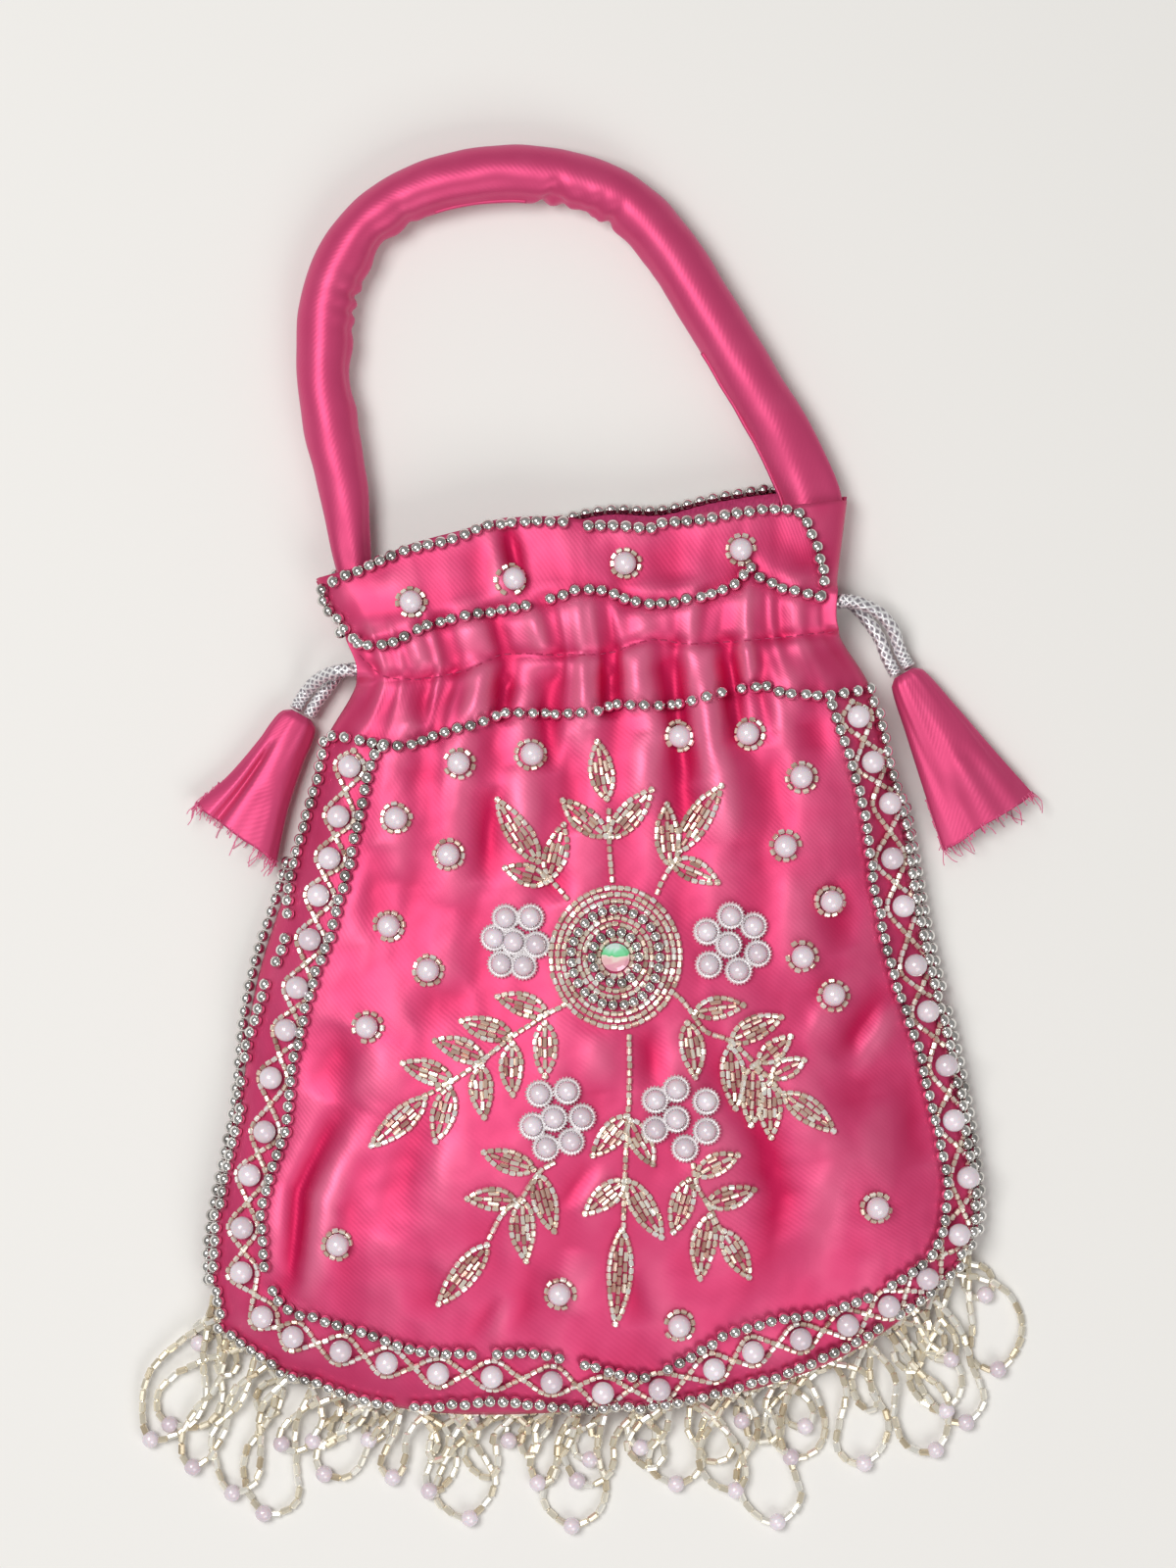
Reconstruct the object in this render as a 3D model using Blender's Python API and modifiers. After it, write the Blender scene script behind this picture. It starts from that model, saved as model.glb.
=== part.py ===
# Beaded satin potli bag, lying on its back as it would come to rest.
# Metres, +Z up, +Y from the bottom seam towards the handle. The origin is on the flat
# underside, in the middle of the pouch's back.
import math

import bmesh
import bpy
from mathutils import Vector
from mathutils.bvhtree import BVHTree

# The pouch as it lies, and one unit across and along of the drawing it is laid out on
POUCH_WIDTH = 0.1945
POUCH_LENGTH = 0.2230
ACROSS = POUCH_WIDTH / 194.5
ALONG = POUCH_LENGTH / 223.0

# Pouch outline, at stations from the bottom seam to the rim
BOTTOM_Y = -90.5 * ALONG
HEM_Y = -66.0 * ALONG
HIP_Y = -44.0 * ALONG
BELLY_Y = -10.0 * ALONG
WAIST_Y = 24.0 * ALONG
CHEST_Y = 58.0 * ALONG
YOKE_Y = 86.4 * ALONG
CASING_BOTTOM_Y = 103.1 * ALONG
CASING_TOP_Y = 112.8 * ALONG
RIM_Y = 132.5 * ALONG
BOTTOM_WIDTH = 185.6 * ACROSS
HEM_WIDTH = 194.5 * ACROSS
HIP_WIDTH = 193.9 * ACROSS
BELLY_WIDTH = 183.1 * ACROSS
WAIST_WIDTH = 171.5 * ACROSS
CHEST_WIDTH = 155.0 * ACROSS
YOKE_WIDTH = 141.4 * ACROSS
NECK_WIDTH = 123.2 * ACROSS
NECK_TOP_WIDTH = 125.5 * ACROSS
RIM_WIDTH = 137.4 * ACROSS
BOTTOM_X = -0.5 * ACROSS
HEM_X = 1.0 * ACROSS
HIP_X = 0.8 * ACROSS
BELLY_X = 1.0 * ACROSS
WAIST_X = -1.0 * ACROSS
CHEST_X = 1.1 * ACROSS
YOKE_X = 1.1 * ACROSS
CASING_BOTTOM_X = 1.2 * ACROSS
CASING_TOP_X = -0.2 * ACROSS
RIM_X = -2.9 * ACROSS
CORNER_RISE = 26.7 * ALONG
BACK_RIM_RISE = 0.0045
BODY_TILT = math.radians(3.9)
YOKE_TILT = math.radians(5.8)
RIM_TILT = math.radians(8.4)

# Thickness of the bag as it lies
BELLY_DEPTH = 0.024
YOKE_DEPTH = 0.0195
NECK_DEPTH = 0.0176
RIM_DEPTH = 0.0150
SEAM_HEIGHT = 0.0060
SATIN_WALL = 0.0010
LINING_WALL = 0.0006
LAYER_GAP = 0.0003
LINING_SLACK = 0.0010
GATHER_DEPTH = 0.0022
GATHER_COUNT = 9

# Drawstrings and their casing
CORD_DIAMETER = 0.0034
CORD_CLEARANCE = 0.00045
TASSEL_TOP_WIDTH = 0.0100
RIGHT_HEM_WIDTH = 0.0265
LEFT_HEM_WIDTH = 0.0240
TASSEL_DEPTH = 0.0085
TASSEL_WALL = 0.0008

# Padded handle
HANDLE_DIAMETER = 0.0146
HANDLE_WALL = 0.0010
HANDLE_END_WIDTH = 0.0100
HANDLE_END_DEPTH = 0.0072

# Beads and embroidery
SILVER_BEAD = 0.0031
BEAD_PITCH = 0.0034
PEARL = 0.0058
PEARL_PITCH = 0.0125
FRINGE_BEAD = 0.0019
FRINGE_PEARL = 0.0044
FRINGE_LENGTH = 0.030
FRINGE_PITCH = 0.0073
FRINGE_HANG = 1.5
SEED_BEAD = 0.0016
MEDALLION_DIAMETER = 0.0355
STONE_DIAMETER = 0.0070
LEAF_WIDTH = 0.0068
FLOWER_SPREAD = 0.0066
STEM_PITCH = 0.006
PLAIN_PITCH = 0.0062
BACK_RIM_PITCH = 0.012
TRIM_GAP = 0.0004
EDGE_ROW = 0.0016
BORDER_LEFT = 0.0093
BORDER_RIGHT = 0.0065
INNER_ROW_LEFT = 0.0148
INNER_ROW_RIGHT = 0.0116

SATIN_PINK = (0.76, 0.085, 0.27, 1.0)
LINING_PINK = (0.62, 0.06, 0.20, 1.0)
SILVER = (0.78, 0.76, 0.73, 1.0)
CHAMPAGNE = (0.70, 0.58, 0.46, 1.0)
PEARL_WHITE = (0.88, 0.82, 0.86, 1.0)
STONE_PINK = (0.85, 0.62, 0.66, 1.0)
WADDING_WHITE = (0.85, 0.85, 0.82, 1.0)

# Shares of the pouch's height at each station
V_HEM, V_HIP, V_BELLY, V_WAIST, V_CHEST = 0.10, 0.20, 0.35, 0.50, 0.65
V_YOKE, V_CASING_BOTTOM, V_CASING_TOP = 0.78, 0.87, 0.92
V_CHANNEL = (V_CASING_BOTTOM + V_CASING_TOP) / 2
CHANNEL_DEPTH = CORD_DIAMETER + 2 * CORD_CLEARANCE
NECK_LINING_REACH = 0.75
BODY_LINING_REACH = 0.95
HALF = 0.5
STEP = 1e-3

# Station: share of the height, centre y, half width, tilt, rise of the corners, centre x
STATIONS = (
    (0.0, BOTTOM_Y, BOTTOM_WIDTH * HALF, BODY_TILT, CORNER_RISE, BOTTOM_X),
    (V_HEM, HEM_Y, HEM_WIDTH * HALF, BODY_TILT, CORNER_RISE * 0.56, HEM_X),
    (V_HIP, HIP_Y, HIP_WIDTH * HALF, BODY_TILT, CORNER_RISE * 0.26, HIP_X),
    (V_BELLY, BELLY_Y, BELLY_WIDTH * HALF, BODY_TILT, CORNER_RISE * 0.07, BELLY_X),
    (V_WAIST, WAIST_Y, WAIST_WIDTH * HALF, BODY_TILT * 1.1, 0.0, WAIST_X),
    (V_CHEST, CHEST_Y, CHEST_WIDTH * HALF, BODY_TILT * 1.25, 0.0, CHEST_X),
    (V_YOKE, YOKE_Y, YOKE_WIDTH * HALF, YOKE_TILT, 0.0, YOKE_X),
    (V_CASING_BOTTOM, CASING_BOTTOM_Y, NECK_WIDTH * HALF, YOKE_TILT, 0.0, CASING_BOTTOM_X),
    (V_CASING_TOP, CASING_TOP_Y, NECK_TOP_WIDTH * HALF, YOKE_TILT, 0.0, CASING_TOP_X),
    (1.0, RIM_Y, RIM_WIDTH * HALF, RIM_TILT, 0.0, RIM_X),
)
# Share of the height, depth of the bag
DEPTHS = (
    (0.0, BELLY_DEPTH * 0.92),
    (V_BELLY, BELLY_DEPTH),
    (V_YOKE, YOKE_DEPTH),
    (V_CASING_BOTTOM, NECK_DEPTH),
    (V_CASING_TOP, NECK_DEPTH),
    (1.0, RIM_DEPTH),
)
PANEL_ROWS = (0.0, 0.035, 0.08, 0.15, 0.25, 0.38, 0.52, 0.66, 0.78, 0.83, 0.860, 0.873, 0.919, 0.932, 1.0)
LINING_ROWS = (0.035, 0.08, 0.15, 0.25, 0.38, 0.52, 0.66, 0.80, 0.856, 0.866, 0.926, 0.936, 1.0)


def read(table, v, column):
    # a smooth curve through one column of a table of stations
    v = min(max(v, 0.0), 1.0)
    k = max(i for i in range(len(table) - 1) if table[i][0] <= v)
    v0, v1 = table[k][0], table[k + 1][0]
    a, b = table[k][column], table[k + 1][column]

    def slope(i):
        lo, hi = max(i - 1, 0), min(i + 1, len(table) - 1)
        return (table[hi][column] - table[lo][column]) / (table[hi][0] - table[lo][0])

    t = (v - v0) / (v1 - v0)
    m0, m1 = slope(k) * (v1 - v0), slope(k + 1) * (v1 - v0)
    return ((2 * t**3 - 3 * t**2 + 1) * a + (t**3 - 2 * t**2 + t) * m0
            + (3 * t**2 - 2 * t**3) * b + (t**3 - t**2) * m1)


def ease(x, low, high):
    t = min(max((x - low) / (high - low), 0.0), 1.0)
    return t * t * (3 - 2 * t)


def drawn(x, y):
    # a place given in units of the drawing
    return Vector((x * ACROSS, y * ALONG))


def spot(u, v):
    # a place on the lying pouch: u from side to side, v from the bottom seam to the rim
    half, tilt, rise = read(STATIONS, v, 2), read(STATIONS, v, 3), read(STATIONS, v, 4)
    across, up = u * half, max(rise, 0.0) * abs(u) ** 3
    return Vector((
        read(STATIONS, v, 5) + across * math.cos(tilt) - up * math.sin(tilt),
        read(STATIONS, v, 1) + across * math.sin(tilt) + up * math.cos(tilt),
    ))


def seam_height(v):
    neck = ease(v, 0.6, V_CASING_BOTTOM)
    middle = read(DEPTHS, v, 1) * HALF
    return SEAM_HEIGHT + (middle - SEAM_HEIGHT) * neck


def vent(v):
    # the side seams are left open where the cords leave the casing
    return ease(v, 0.860, 0.873) - ease(v, 0.919, 0.932)


def fullness(u, v):
    # 1 over most of the bag, 0 at its seams
    power = 2.4 + 9.6 * ease(v, 0.5, V_CASING_BOTTOM)
    sides = math.sqrt(max(0.0, 1 - abs(u) ** power))
    sides += (1 - sides) * vent(v)
    bottom = math.sqrt(max(0.0, 1 - (1 - min(1.0, v / 0.28)) ** 2))
    return sides * bottom


def gathers(u, v):
    fade = ease(v, 0.42, 0.84) * (1 - 0.45 * ease(v, V_CASING_TOP, 1.0)) * (1 - ease(abs(u), 0.84, 0.95))
    waves = 0.62 * math.cos(math.pi * GATHER_COUNT * (u + 0.05 * v))
    waves += 0.38 * math.cos(math.pi * GATHER_COUNT * 0.61 * u + 1.3)
    return GATHER_DEPTH * fade * (HALF + HALF * waves)


def front(u, v, folded=True):
    seam = seam_height(v) + LAYER_GAP * HALF
    z = seam + (read(DEPTHS, v, 1) - seam) * fullness(u, v)
    place = spot(u, v)
    return Vector((place.x, place.y, z + (gathers(u, v) if folded else 0.0)))


def back(u, v):
    seam = seam_height(v) - LAYER_GAP * HALF
    z = seam * (1 - min(1.0, 1.3 * fullness(u, v)))
    place = spot(u, v)
    raised = BACK_RIM_RISE * ease(v, V_CASING_TOP, 1.0) * (HALF + HALF * u)
    return Vector((place.x, place.y + raised, z))


def inward(surface, u, v, depth, facing):
    # the point that lies depth inside a surface, along its normal
    u0, u1 = max(-1.0, u - STEP), min(1.0, u + STEP)
    v0, v1 = max(0.0, v - STEP), min(1.0, v + STEP)
    normal = (surface(u1, v) - surface(u0, v)).cross(surface(u, v1) - surface(u, v0)).normalized()
    if normal.z * facing < 0:
        normal = -normal
    if abs(v - 1.0) < STEP:
        normal.y = 0.0
    return surface(u, v) - normal * depth


def loft(name, rings, ends="fan"):
    # a closed skin over rings of points; ends are fans, strips for a slab, or a loop for a hollow
    bm = bmesh.new()
    rows = [[bm.verts.new(p) for p in ring] for ring in rings]
    count = len(rows[0])
    pairs = list(zip(rows, rows[1:]))
    if ends == "loop":
        pairs.append((rows[-1], rows[0]))
    for low, high in pairs:
        for i in range(count):
            j = (i + 1) % count
            bm.faces.new((low[i], low[j], high[j], high[i]))
    if ends == "fan":
        for row in (rows[0][::-1], rows[-1]):
            bm.faces.new(row)
    if ends == "strip":
        for row in (rows[0][::-1], rows[-1]):
            for i in range(count // 2 - 1):
                bm.faces.new((row[i], row[i + 1], row[count - 2 - i], row[count - 1 - i]))
    bmesh.ops.recalc_face_normals(bm, faces=bm.faces)
    return make_object(name, bm)


def make_object(name, bm):
    mesh = bpy.data.meshes.new(name)
    bm.to_mesh(mesh)
    bm.free()
    return link(bpy.data.objects.new(name, mesh))


def link(piece):
    bag.objects.link(piece)
    return piece


def finish(piece, material, smooth=40):
    piece.data.materials.clear()
    piece.data.materials.append(material)
    if piece.type == "MESH":
        piece.data.shade_smooth()
        piece.data.set_sharp_from_angle(angle=math.radians(smooth))
    return piece


def material(name, colour, roughness, metallic=0.0):
    made = bpy.data.materials.new(name)
    made.use_nodes = True
    shader = made.node_tree.nodes["Principled BSDF"]
    shader.inputs["Base Color"].default_value = colour
    shader.inputs["Roughness"].default_value = roughness
    shader.inputs["Metallic"].default_value = metallic
    return made


def panel(name, outer, inner, columns, rows):
    # a sewn panel: outer and inner faces over the same grid
    sides = [math.sin(math.pi * HALF * (2 * i / columns - 1)) for i in range(columns + 1)]
    rings = []
    for v in rows:
        rings.append([outer(u, v) for u in sides] + [inner(u, v) for u in reversed(sides)])
    return loft(name, rings, ends="strip")


def build_outer_panels():
    def front_inner(u, v):
        p = inward(front, u, v, SATIN_WALL, 1)
        p.z = max(p.z, seam_height(v) + LAYER_GAP * HALF)
        return p

    def back_inner(u, v):
        p = inward(back, u, v, SATIN_WALL, -1)
        p.z = min(p.z, seam_height(v) - LAYER_GAP * HALF)
        return p

    front_panel = panel("front_panel", front, front_inner, 30, PANEL_ROWS)
    back_panel = panel("back_panel", back, back_inner, 12, PANEL_ROWS)
    return finish(front_panel, satin), finish(back_panel, satin)


def build_lining():
    # the lining hangs free of the seams, and stands off the satin at the casing for the cords
    def face(surface, facing, extra):
        def at(u, v):
            reach = BODY_LINING_REACH
            reach += (NECK_LINING_REACH - BODY_LINING_REACH) * ease(v, 0.55, 0.82)
            channel = ease(v, 0.856, 0.866) - ease(v, 0.926, 0.936)
            slack = LINING_SLACK + (LAYER_GAP - LINING_SLACK) * channel
            depth = SATIN_WALL + slack + extra + CHANNEL_DEPTH * channel
            p = inward(surface, u * reach, v, depth, facing)
            seam = seam_height(v) + facing * LAYER_GAP * HALF
            closing = math.sqrt(max(0.0, 1 - abs(u) ** 14)) * ease(v, 0.034, 0.09)
            p.z = seam + (p.z - seam) * closing
            return Vector((p.x, p.y, max(p.z, seam) if facing > 0 else min(p.z, seam)))
        return at

    def plain_front(u, v):
        return front(u, v, folded=False)

    for name, surface, facing in (("front_lining", plain_front, 1), ("back_lining", back, -1)):
        outer, inner = face(surface, facing, 0.0), face(surface, facing, LINING_WALL)
        finish(panel(name, outer, inner, 10, LINING_ROWS), lining_cloth)


def ring_round(centre, along, width, depth, sides, turn=0.0):
    # a ring across a path, flat in z when depth is less than width
    side = Vector((along.y, -along.x, 0.0)).normalized()
    up = side.cross(along).normalized()
    points = []
    for i in range(sides):
        a = 2 * math.pi * i / sides + turn
        points.append(centre + side * math.cos(a) * width * HALF + up * math.sin(a) * depth * HALF)
    return points


def curve_through(points, count):
    # evenly counted points on a smooth curve through the given ones
    out = []
    for k in range(count):
        t = k * (len(points) - 1) / (count - 1)
        i = min(int(t), len(points) - 2)
        f = t - i
        p0, p1, p2 = points[max(i - 1, 0)], points[i], points[i + 1]
        p3 = points[min(i + 2, len(points) - 1)]
        out.append(HALF * (2 * p1 + (p2 - p0) * f + (2 * p0 - 5 * p1 + 4 * p2 - p3) * f**2
                           + (3 * p1 - p0 - 3 * p2 + p3) * f**3))
    return out


def headings(path, closed=False):
    n = len(path)
    if closed:
        return [(path[(i + 1) % n] - path[i - 1]).normalized() for i in range(n)]
    return [(path[min(i + 1, n - 1)] - path[max(i - 1, 0)]).normalized() for i in range(n)]


def spaced(path, pitch):
    # points at even spacing along a path
    lengths = [0.0]
    for a, b in zip(path, path[1:]):
        lengths.append(lengths[-1] + (b - a).length)
    count = max(2, round(lengths[-1] / pitch))
    out, k = [], 0
    for i in range(count + 1):
        want = lengths[-1] * i / count
        while k < len(path) - 2 and lengths[k + 1] < want:
            k += 1
        share = (want - lengths[k]) / (lengths[k + 1] - lengths[k])
        out.append(path[k].lerp(path[k + 1], share))
    return out


def handle_path():
    # from inside the rim at the left, over the arch, to inside the rim at the right
    left, right = spot(-0.865, 0.955), spot(0.865, 0.955)
    left_top, right_top = spot(-0.875, 1.0), spot(0.870, 1.0)
    low = HANDLE_DIAMETER * HALF + 0.0003
    inside = seam_height(1.0)
    arch = (
        (-63.8, 145.0), (-67.2, 162.5), (-68.7, 180.0), (-67.2, 195.0),
        (-61.7, 208.0), (-52.5, 217.5), (-41.2, 223.0), (-26.2, 226.0),
        (-11.2, 225.5), (2.5, 221.7), (12.5, 215.0), (21.2, 204.5),
        (30.0, 190.5), (40.0, 173.7), (49.0, 158.5),
    )
    points = [Vector((left.x, left.y, inside)), Vector((left_top.x, left_top.y, inside))]
    points += [Vector((*drawn(x, y), low)) for x, y in arch]
    points += [Vector((right_top.x, right_top.y, inside)), Vector((right.x, right.y, inside))]
    return points


def build_handle():
    path = curve_through(handle_path(), 22)
    along = headings(path)
    last = len(path) - 1

    def rings(shrink, sides, trim=0):
        out = []
        for i in range(trim, len(path) - trim):
            round_share = ease(min(i, last - i), 1.3, 3.5)
            width = HANDLE_END_WIDTH + (HANDLE_DIAMETER - HANDLE_END_WIDTH) * round_share
            depth = HANDLE_END_DEPTH + (HANDLE_DIAMETER - HANDLE_END_DEPTH) * round_share
            out.append(ring_round(path[i], along[i], width - 2 * shrink, depth - 2 * shrink, sides,
                                  math.pi * HALF))
        return out

    cover = rings(0.0, 8) + rings(HANDLE_WALL, 8)[::-1]
    finish(loft("handle_cover", cover, ends="loop"), satin)
    filling = rings(HANDLE_WALL + LAYER_GAP * 2, 8, trim=1)
    finish(loft("handle_filling", filling), wadding, 60)


def cord_curve(name, points):
    data = bpy.data.curves.new(name, "CURVE")
    data.dimensions = "3D"
    data.bevel_depth = CORD_DIAMETER * HALF
    data.bevel_resolution = 2
    data.use_fill_caps = True
    line = data.splines.new("POLY")
    line.points.add(len(points) - 1)
    for point, place in zip(line.points, points):
        point.co = (*place, 1.0)
    data.materials.append(braid)
    return link(bpy.data.objects.new(name, data))


def build_drawstring(side, name, tassel_top, tassel_hem, bow, hem_width):
    # two strands, one along each casing, out through the side vent and into one tassel
    far, exit_point = spot(-side * NECK_LINING_REACH, V_CHANNEL), spot(side, V_CHANNEL)
    out = (exit_point - far).normalized()
    up = Vector((-out.y, out.x)) * side
    lane = up * side * (CASING_TOP_Y - CASING_BOTTOM_Y) * 0.245
    inset = SATIN_WALL + CORD_CLEARANCE + CORD_DIAMETER * HALF
    heights = {"front": NECK_DEPTH - inset, "back": inset}
    tassel_z = TASSEL_DEPTH * HALF + 0.0006
    top, hem = drawn(*tassel_top), drawn(*tassel_hem)
    heading = (hem - top).normalized()
    across = Vector((-heading.y, heading.x)) * side
    for face, z in heights.items():
        shift, bulge = (1, bow * ACROSS) if face == "front" else (-1, bow * ACROSS * 0.65)
        start, leave = far + lane, exit_point + lane
        end = top + across * CORD_DIAMETER * 0.56 * shift - heading * LAYER_GAP * 2
        chord = (end - leave).normalized()
        middle = (leave + end) * HALF + Vector((-chord.y, chord.x)) * side * bulge
        route = [
            Vector((*leave, z)),
            Vector((*(leave + out * CORD_DIAMETER * 1.3), z)),
            Vector((*middle, (z + tassel_z) * HALF)),
            Vector((*(end - heading * CORD_DIAMETER * 1.3), tassel_z)),
            Vector((*end, tassel_z)),
        ]
        cord_curve(f"{name}_cord_{face}", [Vector((*start, z))] + curve_through(route, 8))
    build_cord_turn(side, name, far, out, lane, heights)
    build_tassel(name, top, hem, tassel_z, hem_width)


def build_cord_turn(side, name, far, out, lane, heights):
    # the bend round the far side seam, which stays with the cloth when the strands are drawn
    radius = (heights["front"] - heights["back"]) * HALF
    middle = (heights["front"] + heights["back"]) * HALF
    start = far + lane - out * LAYER_GAP
    points = [Vector((*start, heights["front"]))]
    for i in range(7):
        a = math.pi * i / 6
        flat = start - out * (CORD_DIAMETER * 0.3 + radius * math.sin(a))
        points.append(Vector((flat.x, flat.y, middle + radius * math.cos(a))))
    points.append(Vector((*start, heights["back"])))
    cord_curve(f"{name}_cord_turn", points)


def build_tassel(name, top, hem, height, hem_width):
    # a flat cone of satin, sewn shut round the cords and open at its frayed hem
    stations = ((0.0, 0.62), (0.04, 0.95), (0.30, 1.0), (0.65, 1.0), (1.0, 1.0))
    start, end = Vector((top.x, top.y, height)), Vector((hem.x, hem.y, height))
    along = (end - start).normalized()

    def rings(shrink):
        out = []
        for share, full in stations:
            width = (TASSEL_TOP_WIDTH + (hem_width - TASSEL_TOP_WIDTH) * share) * full
            depth = TASSEL_DEPTH * (0.75 + 0.25 * share) * full
            out.append(ring_round(start.lerp(end, share), along, width - 2 * shrink, depth - 2 * shrink, 10,
                                  math.pi * HALF))
        return out

    inner = rings(TASSEL_WALL)
    inner = [[p + along * TASSEL_WALL for p in inner[0]]] + inner[1:]
    finish(loft(f"{name}_tassel", rings(0.0) + inner[::-1]), satin)


def outline(left_margin, right_margin, start=V_YOKE):
    # the front's edge from the left end of the yoke, round the bottom, to its right end
    steps = 26
    left = [spot(-1.0, start * (1 - i / steps)) for i in range(steps)]
    bottom = [spot(-1 + 2 * i / steps, 0.0) for i in range(steps)]
    right = [spot(1.0, start * i / steps) for i in range(steps + 1)]
    edge = spaced([Vector((p.x, p.y, 0.0)) for p in left + bottom + right], BEAD_PITCH)
    moved = []
    for p, d in zip(edge, headings(edge)):
        share = HALF + HALF * math.tanh(p.x / 0.02)
        moved.append(p + Vector((-d.y, d.x, 0.0)) * (left_margin + (right_margin - left_margin) * share))
    return moved


def under(x, y):
    # the front's surface under a place, or its nearest edge
    hit, normal, _, _ = cloth.ray_cast(Vector((x, y, 0.1)), Vector((0, 0, -1)))
    if hit is None:
        hit, normal, _, _ = cloth.find_nearest(Vector((x, y, BELLY_DEPTH)))
    return hit, normal if normal.z > 0 else -normal


def on_cloth(x, y, height):
    # the point that stands a height off the front, clear of its folds
    hit, normal = under(x, y)
    point = hit + normal * height
    for _ in range(6):
        near, _, _, distance = cloth.find_nearest(point)
        if distance >= height:
            break
        point += (point - near).normalized() * (height - distance + 0.00005)
    return point


def string(name, path, diameter, closed=False, beads=True, bead_sides=4):
    # beads on a thread: one ring round each bead's middle and one between two beads
    centres = path
    if beads:
        centres = [path[0]]
        for a, b in zip(path, path[1:] + (path[:1] if closed else [])):
            centres += [(a + b) * HALF, b]
        if closed:
            centres = centres[:-1]
    rings = []
    for i, (p, d) in enumerate(zip(centres, headings(centres, closed))):
        size = diameter if i % 2 == 0 or not beads else diameter * 0.5
        rings.append(ring_round(p, d, size, size, bead_sides, math.pi / bead_sides))
    return loft(name, rings, ends="loop" if closed else "fan")


def build_bead_rows():
    height = SILVER_BEAD * HALF + TRIM_GAP

    def laid(flat_path, pitch=BEAD_PITCH):
        return [on_cloth(p.x, p.y, height) for p in spaced(flat_path, pitch)]

    def row(v, low, high):
        return [Vector((*spot(low + (high - low) * i / 30, v), 0.0)) for i in range(31)]

    def column(u, low, high):
        return [Vector((*spot(u, low + (high - low) * i / 8), 0.0)) for i in range(9)]

    rim = column(-0.965, 0.945, 0.990) + row(0.990, -0.955, 0.90) + column(0.915, 0.975, 0.945)
    finish(string("front_rim_beads", laid(rim), SILVER_BEAD), silver)
    finish(string("casing_beads", laid(row(0.930, -0.97, 0.93)), SILVER_BEAD), silver)
    finish(string("yoke_beads", laid(row(V_YOKE, -0.95, 0.95)), SILVER_BEAD), silver)
    outer = laid(outline(EDGE_ROW, EDGE_ROW, V_YOKE - 0.02), PLAIN_PITCH)
    finish(string("outer_edge_beads", outer, SILVER_BEAD, beads=False), silver)
    inner = laid(outline(INNER_ROW_LEFT, INNER_ROW_RIGHT, V_YOKE - 0.02), PLAIN_PITCH)
    finish(string("inner_edge_beads", inner, SILVER_BEAD, beads=False), silver)
    build_back_beads()


def build_back_beads():
    # rows sewn outside the back panel's edge, seen past the front from above
    offset = SILVER_BEAD * HALF + TRIM_GAP
    rim = [back(-0.93 + 1.86 * i / 20, 1.0) for i in range(21)]
    rim = [Vector((p.x, p.y + offset, offset)) for p in rim]
    finish(string("back_rim_beads", spaced(rim, BACK_RIM_PITCH), SILVER_BEAD, beads=False), silver)
    for name, side in (("back_left_beads", -1), ("back_right_beads", 1)):
        points = []
        edge = [(v, spot(side, v)) for v in PANEL_ROWS if V_HEM <= v <= V_YOKE]
        for (v, p), (_, q) in zip(edge, edge[1:] + [(1.0, spot(side, V_CASING_BOTTOM))]):
            before = points[-1][1] if points else q - p
            turned = ((q - p).normalized() + before.normalized()).normalized()
            away = Vector((turned.y, -turned.x)) * side
            points.append((v, q - p, p + away * (offset - TRIM_GAP * HALF)))
        points = [Vector((*place, seam_height(v) - SILVER_BEAD * 0.4)) for v, _, place in points]
        finish(string(name, points, SILVER_BEAD, beads=False), silver)


def build_border_braid():
    # pearls along the border, joined by the crossing strings of cut beads between them
    path = spaced(outline(BORDER_LEFT, BORDER_RIGHT, V_YOKE - 0.045), PEARL_PITCH)
    # a pearl is three rings of full width, and the strings between two pearls are one flat ring
    sizes = ((-0.32, 1.0, 1.0), (0.32, 1.0, 1.0), (1.0, 0.60, 0.30))
    rings = []
    for k, p in enumerate(path):
        here = path[min(k + 1, len(path) - 1)] - p if k + 1 < len(path) else p - path[k - 1]
        for place, wide, tall in sizes[: 3 if k + 1 < len(path) else 2]:
            flat = p + here * (0.5 if place == 1.0 else place * PEARL / here.length)
            centre = on_cloth(flat.x, flat.y, PEARL * tall * HALF + TRIM_GAP)
            rings.append(ring_round(centre, here.normalized(), PEARL * wide, PEARL * tall, 4, math.pi / 4))
    finish(loft("border_braid", rings), pearl)


def lathe(name, profile, steps, finish_with, hollow=False):
    # a turned piece about its own z axis; the profile runs down its outer side
    count = len(profile)
    edges = [(i, (i + 1) % count) for i in range(count if hollow else count - 1)]
    mesh = bpy.data.meshes.new(name)
    mesh.from_pydata([(x, 0.0, z) for x, z in profile], edges, [])
    mesh.materials.append(finish_with)
    piece = link(bpy.data.objects.new(name, mesh))
    screw = piece.modifiers.new("Turned", "SCREW")
    screw.steps = screw.render_steps = steps
    screw.use_merge_vertices = True
    screw.merge_threshold = 0.00005
    return piece


def seat(piece, x, y, radius):
    # tilts a piece to the cloth under it and lifts it clear of the folds in its footprint
    ring = [(0.0, 0.0)]
    for share in (0.5, 1.0):
        for k in range(12):
            a = 2 * math.pi * k / 12
            ring.append((radius * share * math.cos(a), radius * share * math.sin(a)))
    points = [under(x + dx, y + dy)[0] for dx, dy in ring]
    slope_x = sum((p.z - points[0].z) * d[0] for p, d in zip(points, ring)) / sum(d[0] ** 2 for d in ring)
    slope_y = sum((p.z - points[0].z) * d[1] for p, d in zip(points, ring)) / sum(d[1] ** 2 for d in ring)
    lift = max(p.z - slope_x * d[0] - slope_y * d[1] for p, d in zip(points, ring))
    normal = Vector((-slope_x, -slope_y, 1.0)).normalized()
    piece.rotation_mode = "QUATERNION"
    piece.rotation_quaternion = normal.to_track_quat("Z", "Y")
    piece.location = Vector((x, y, lift)) + normal * TRIM_GAP
    return piece


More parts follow.
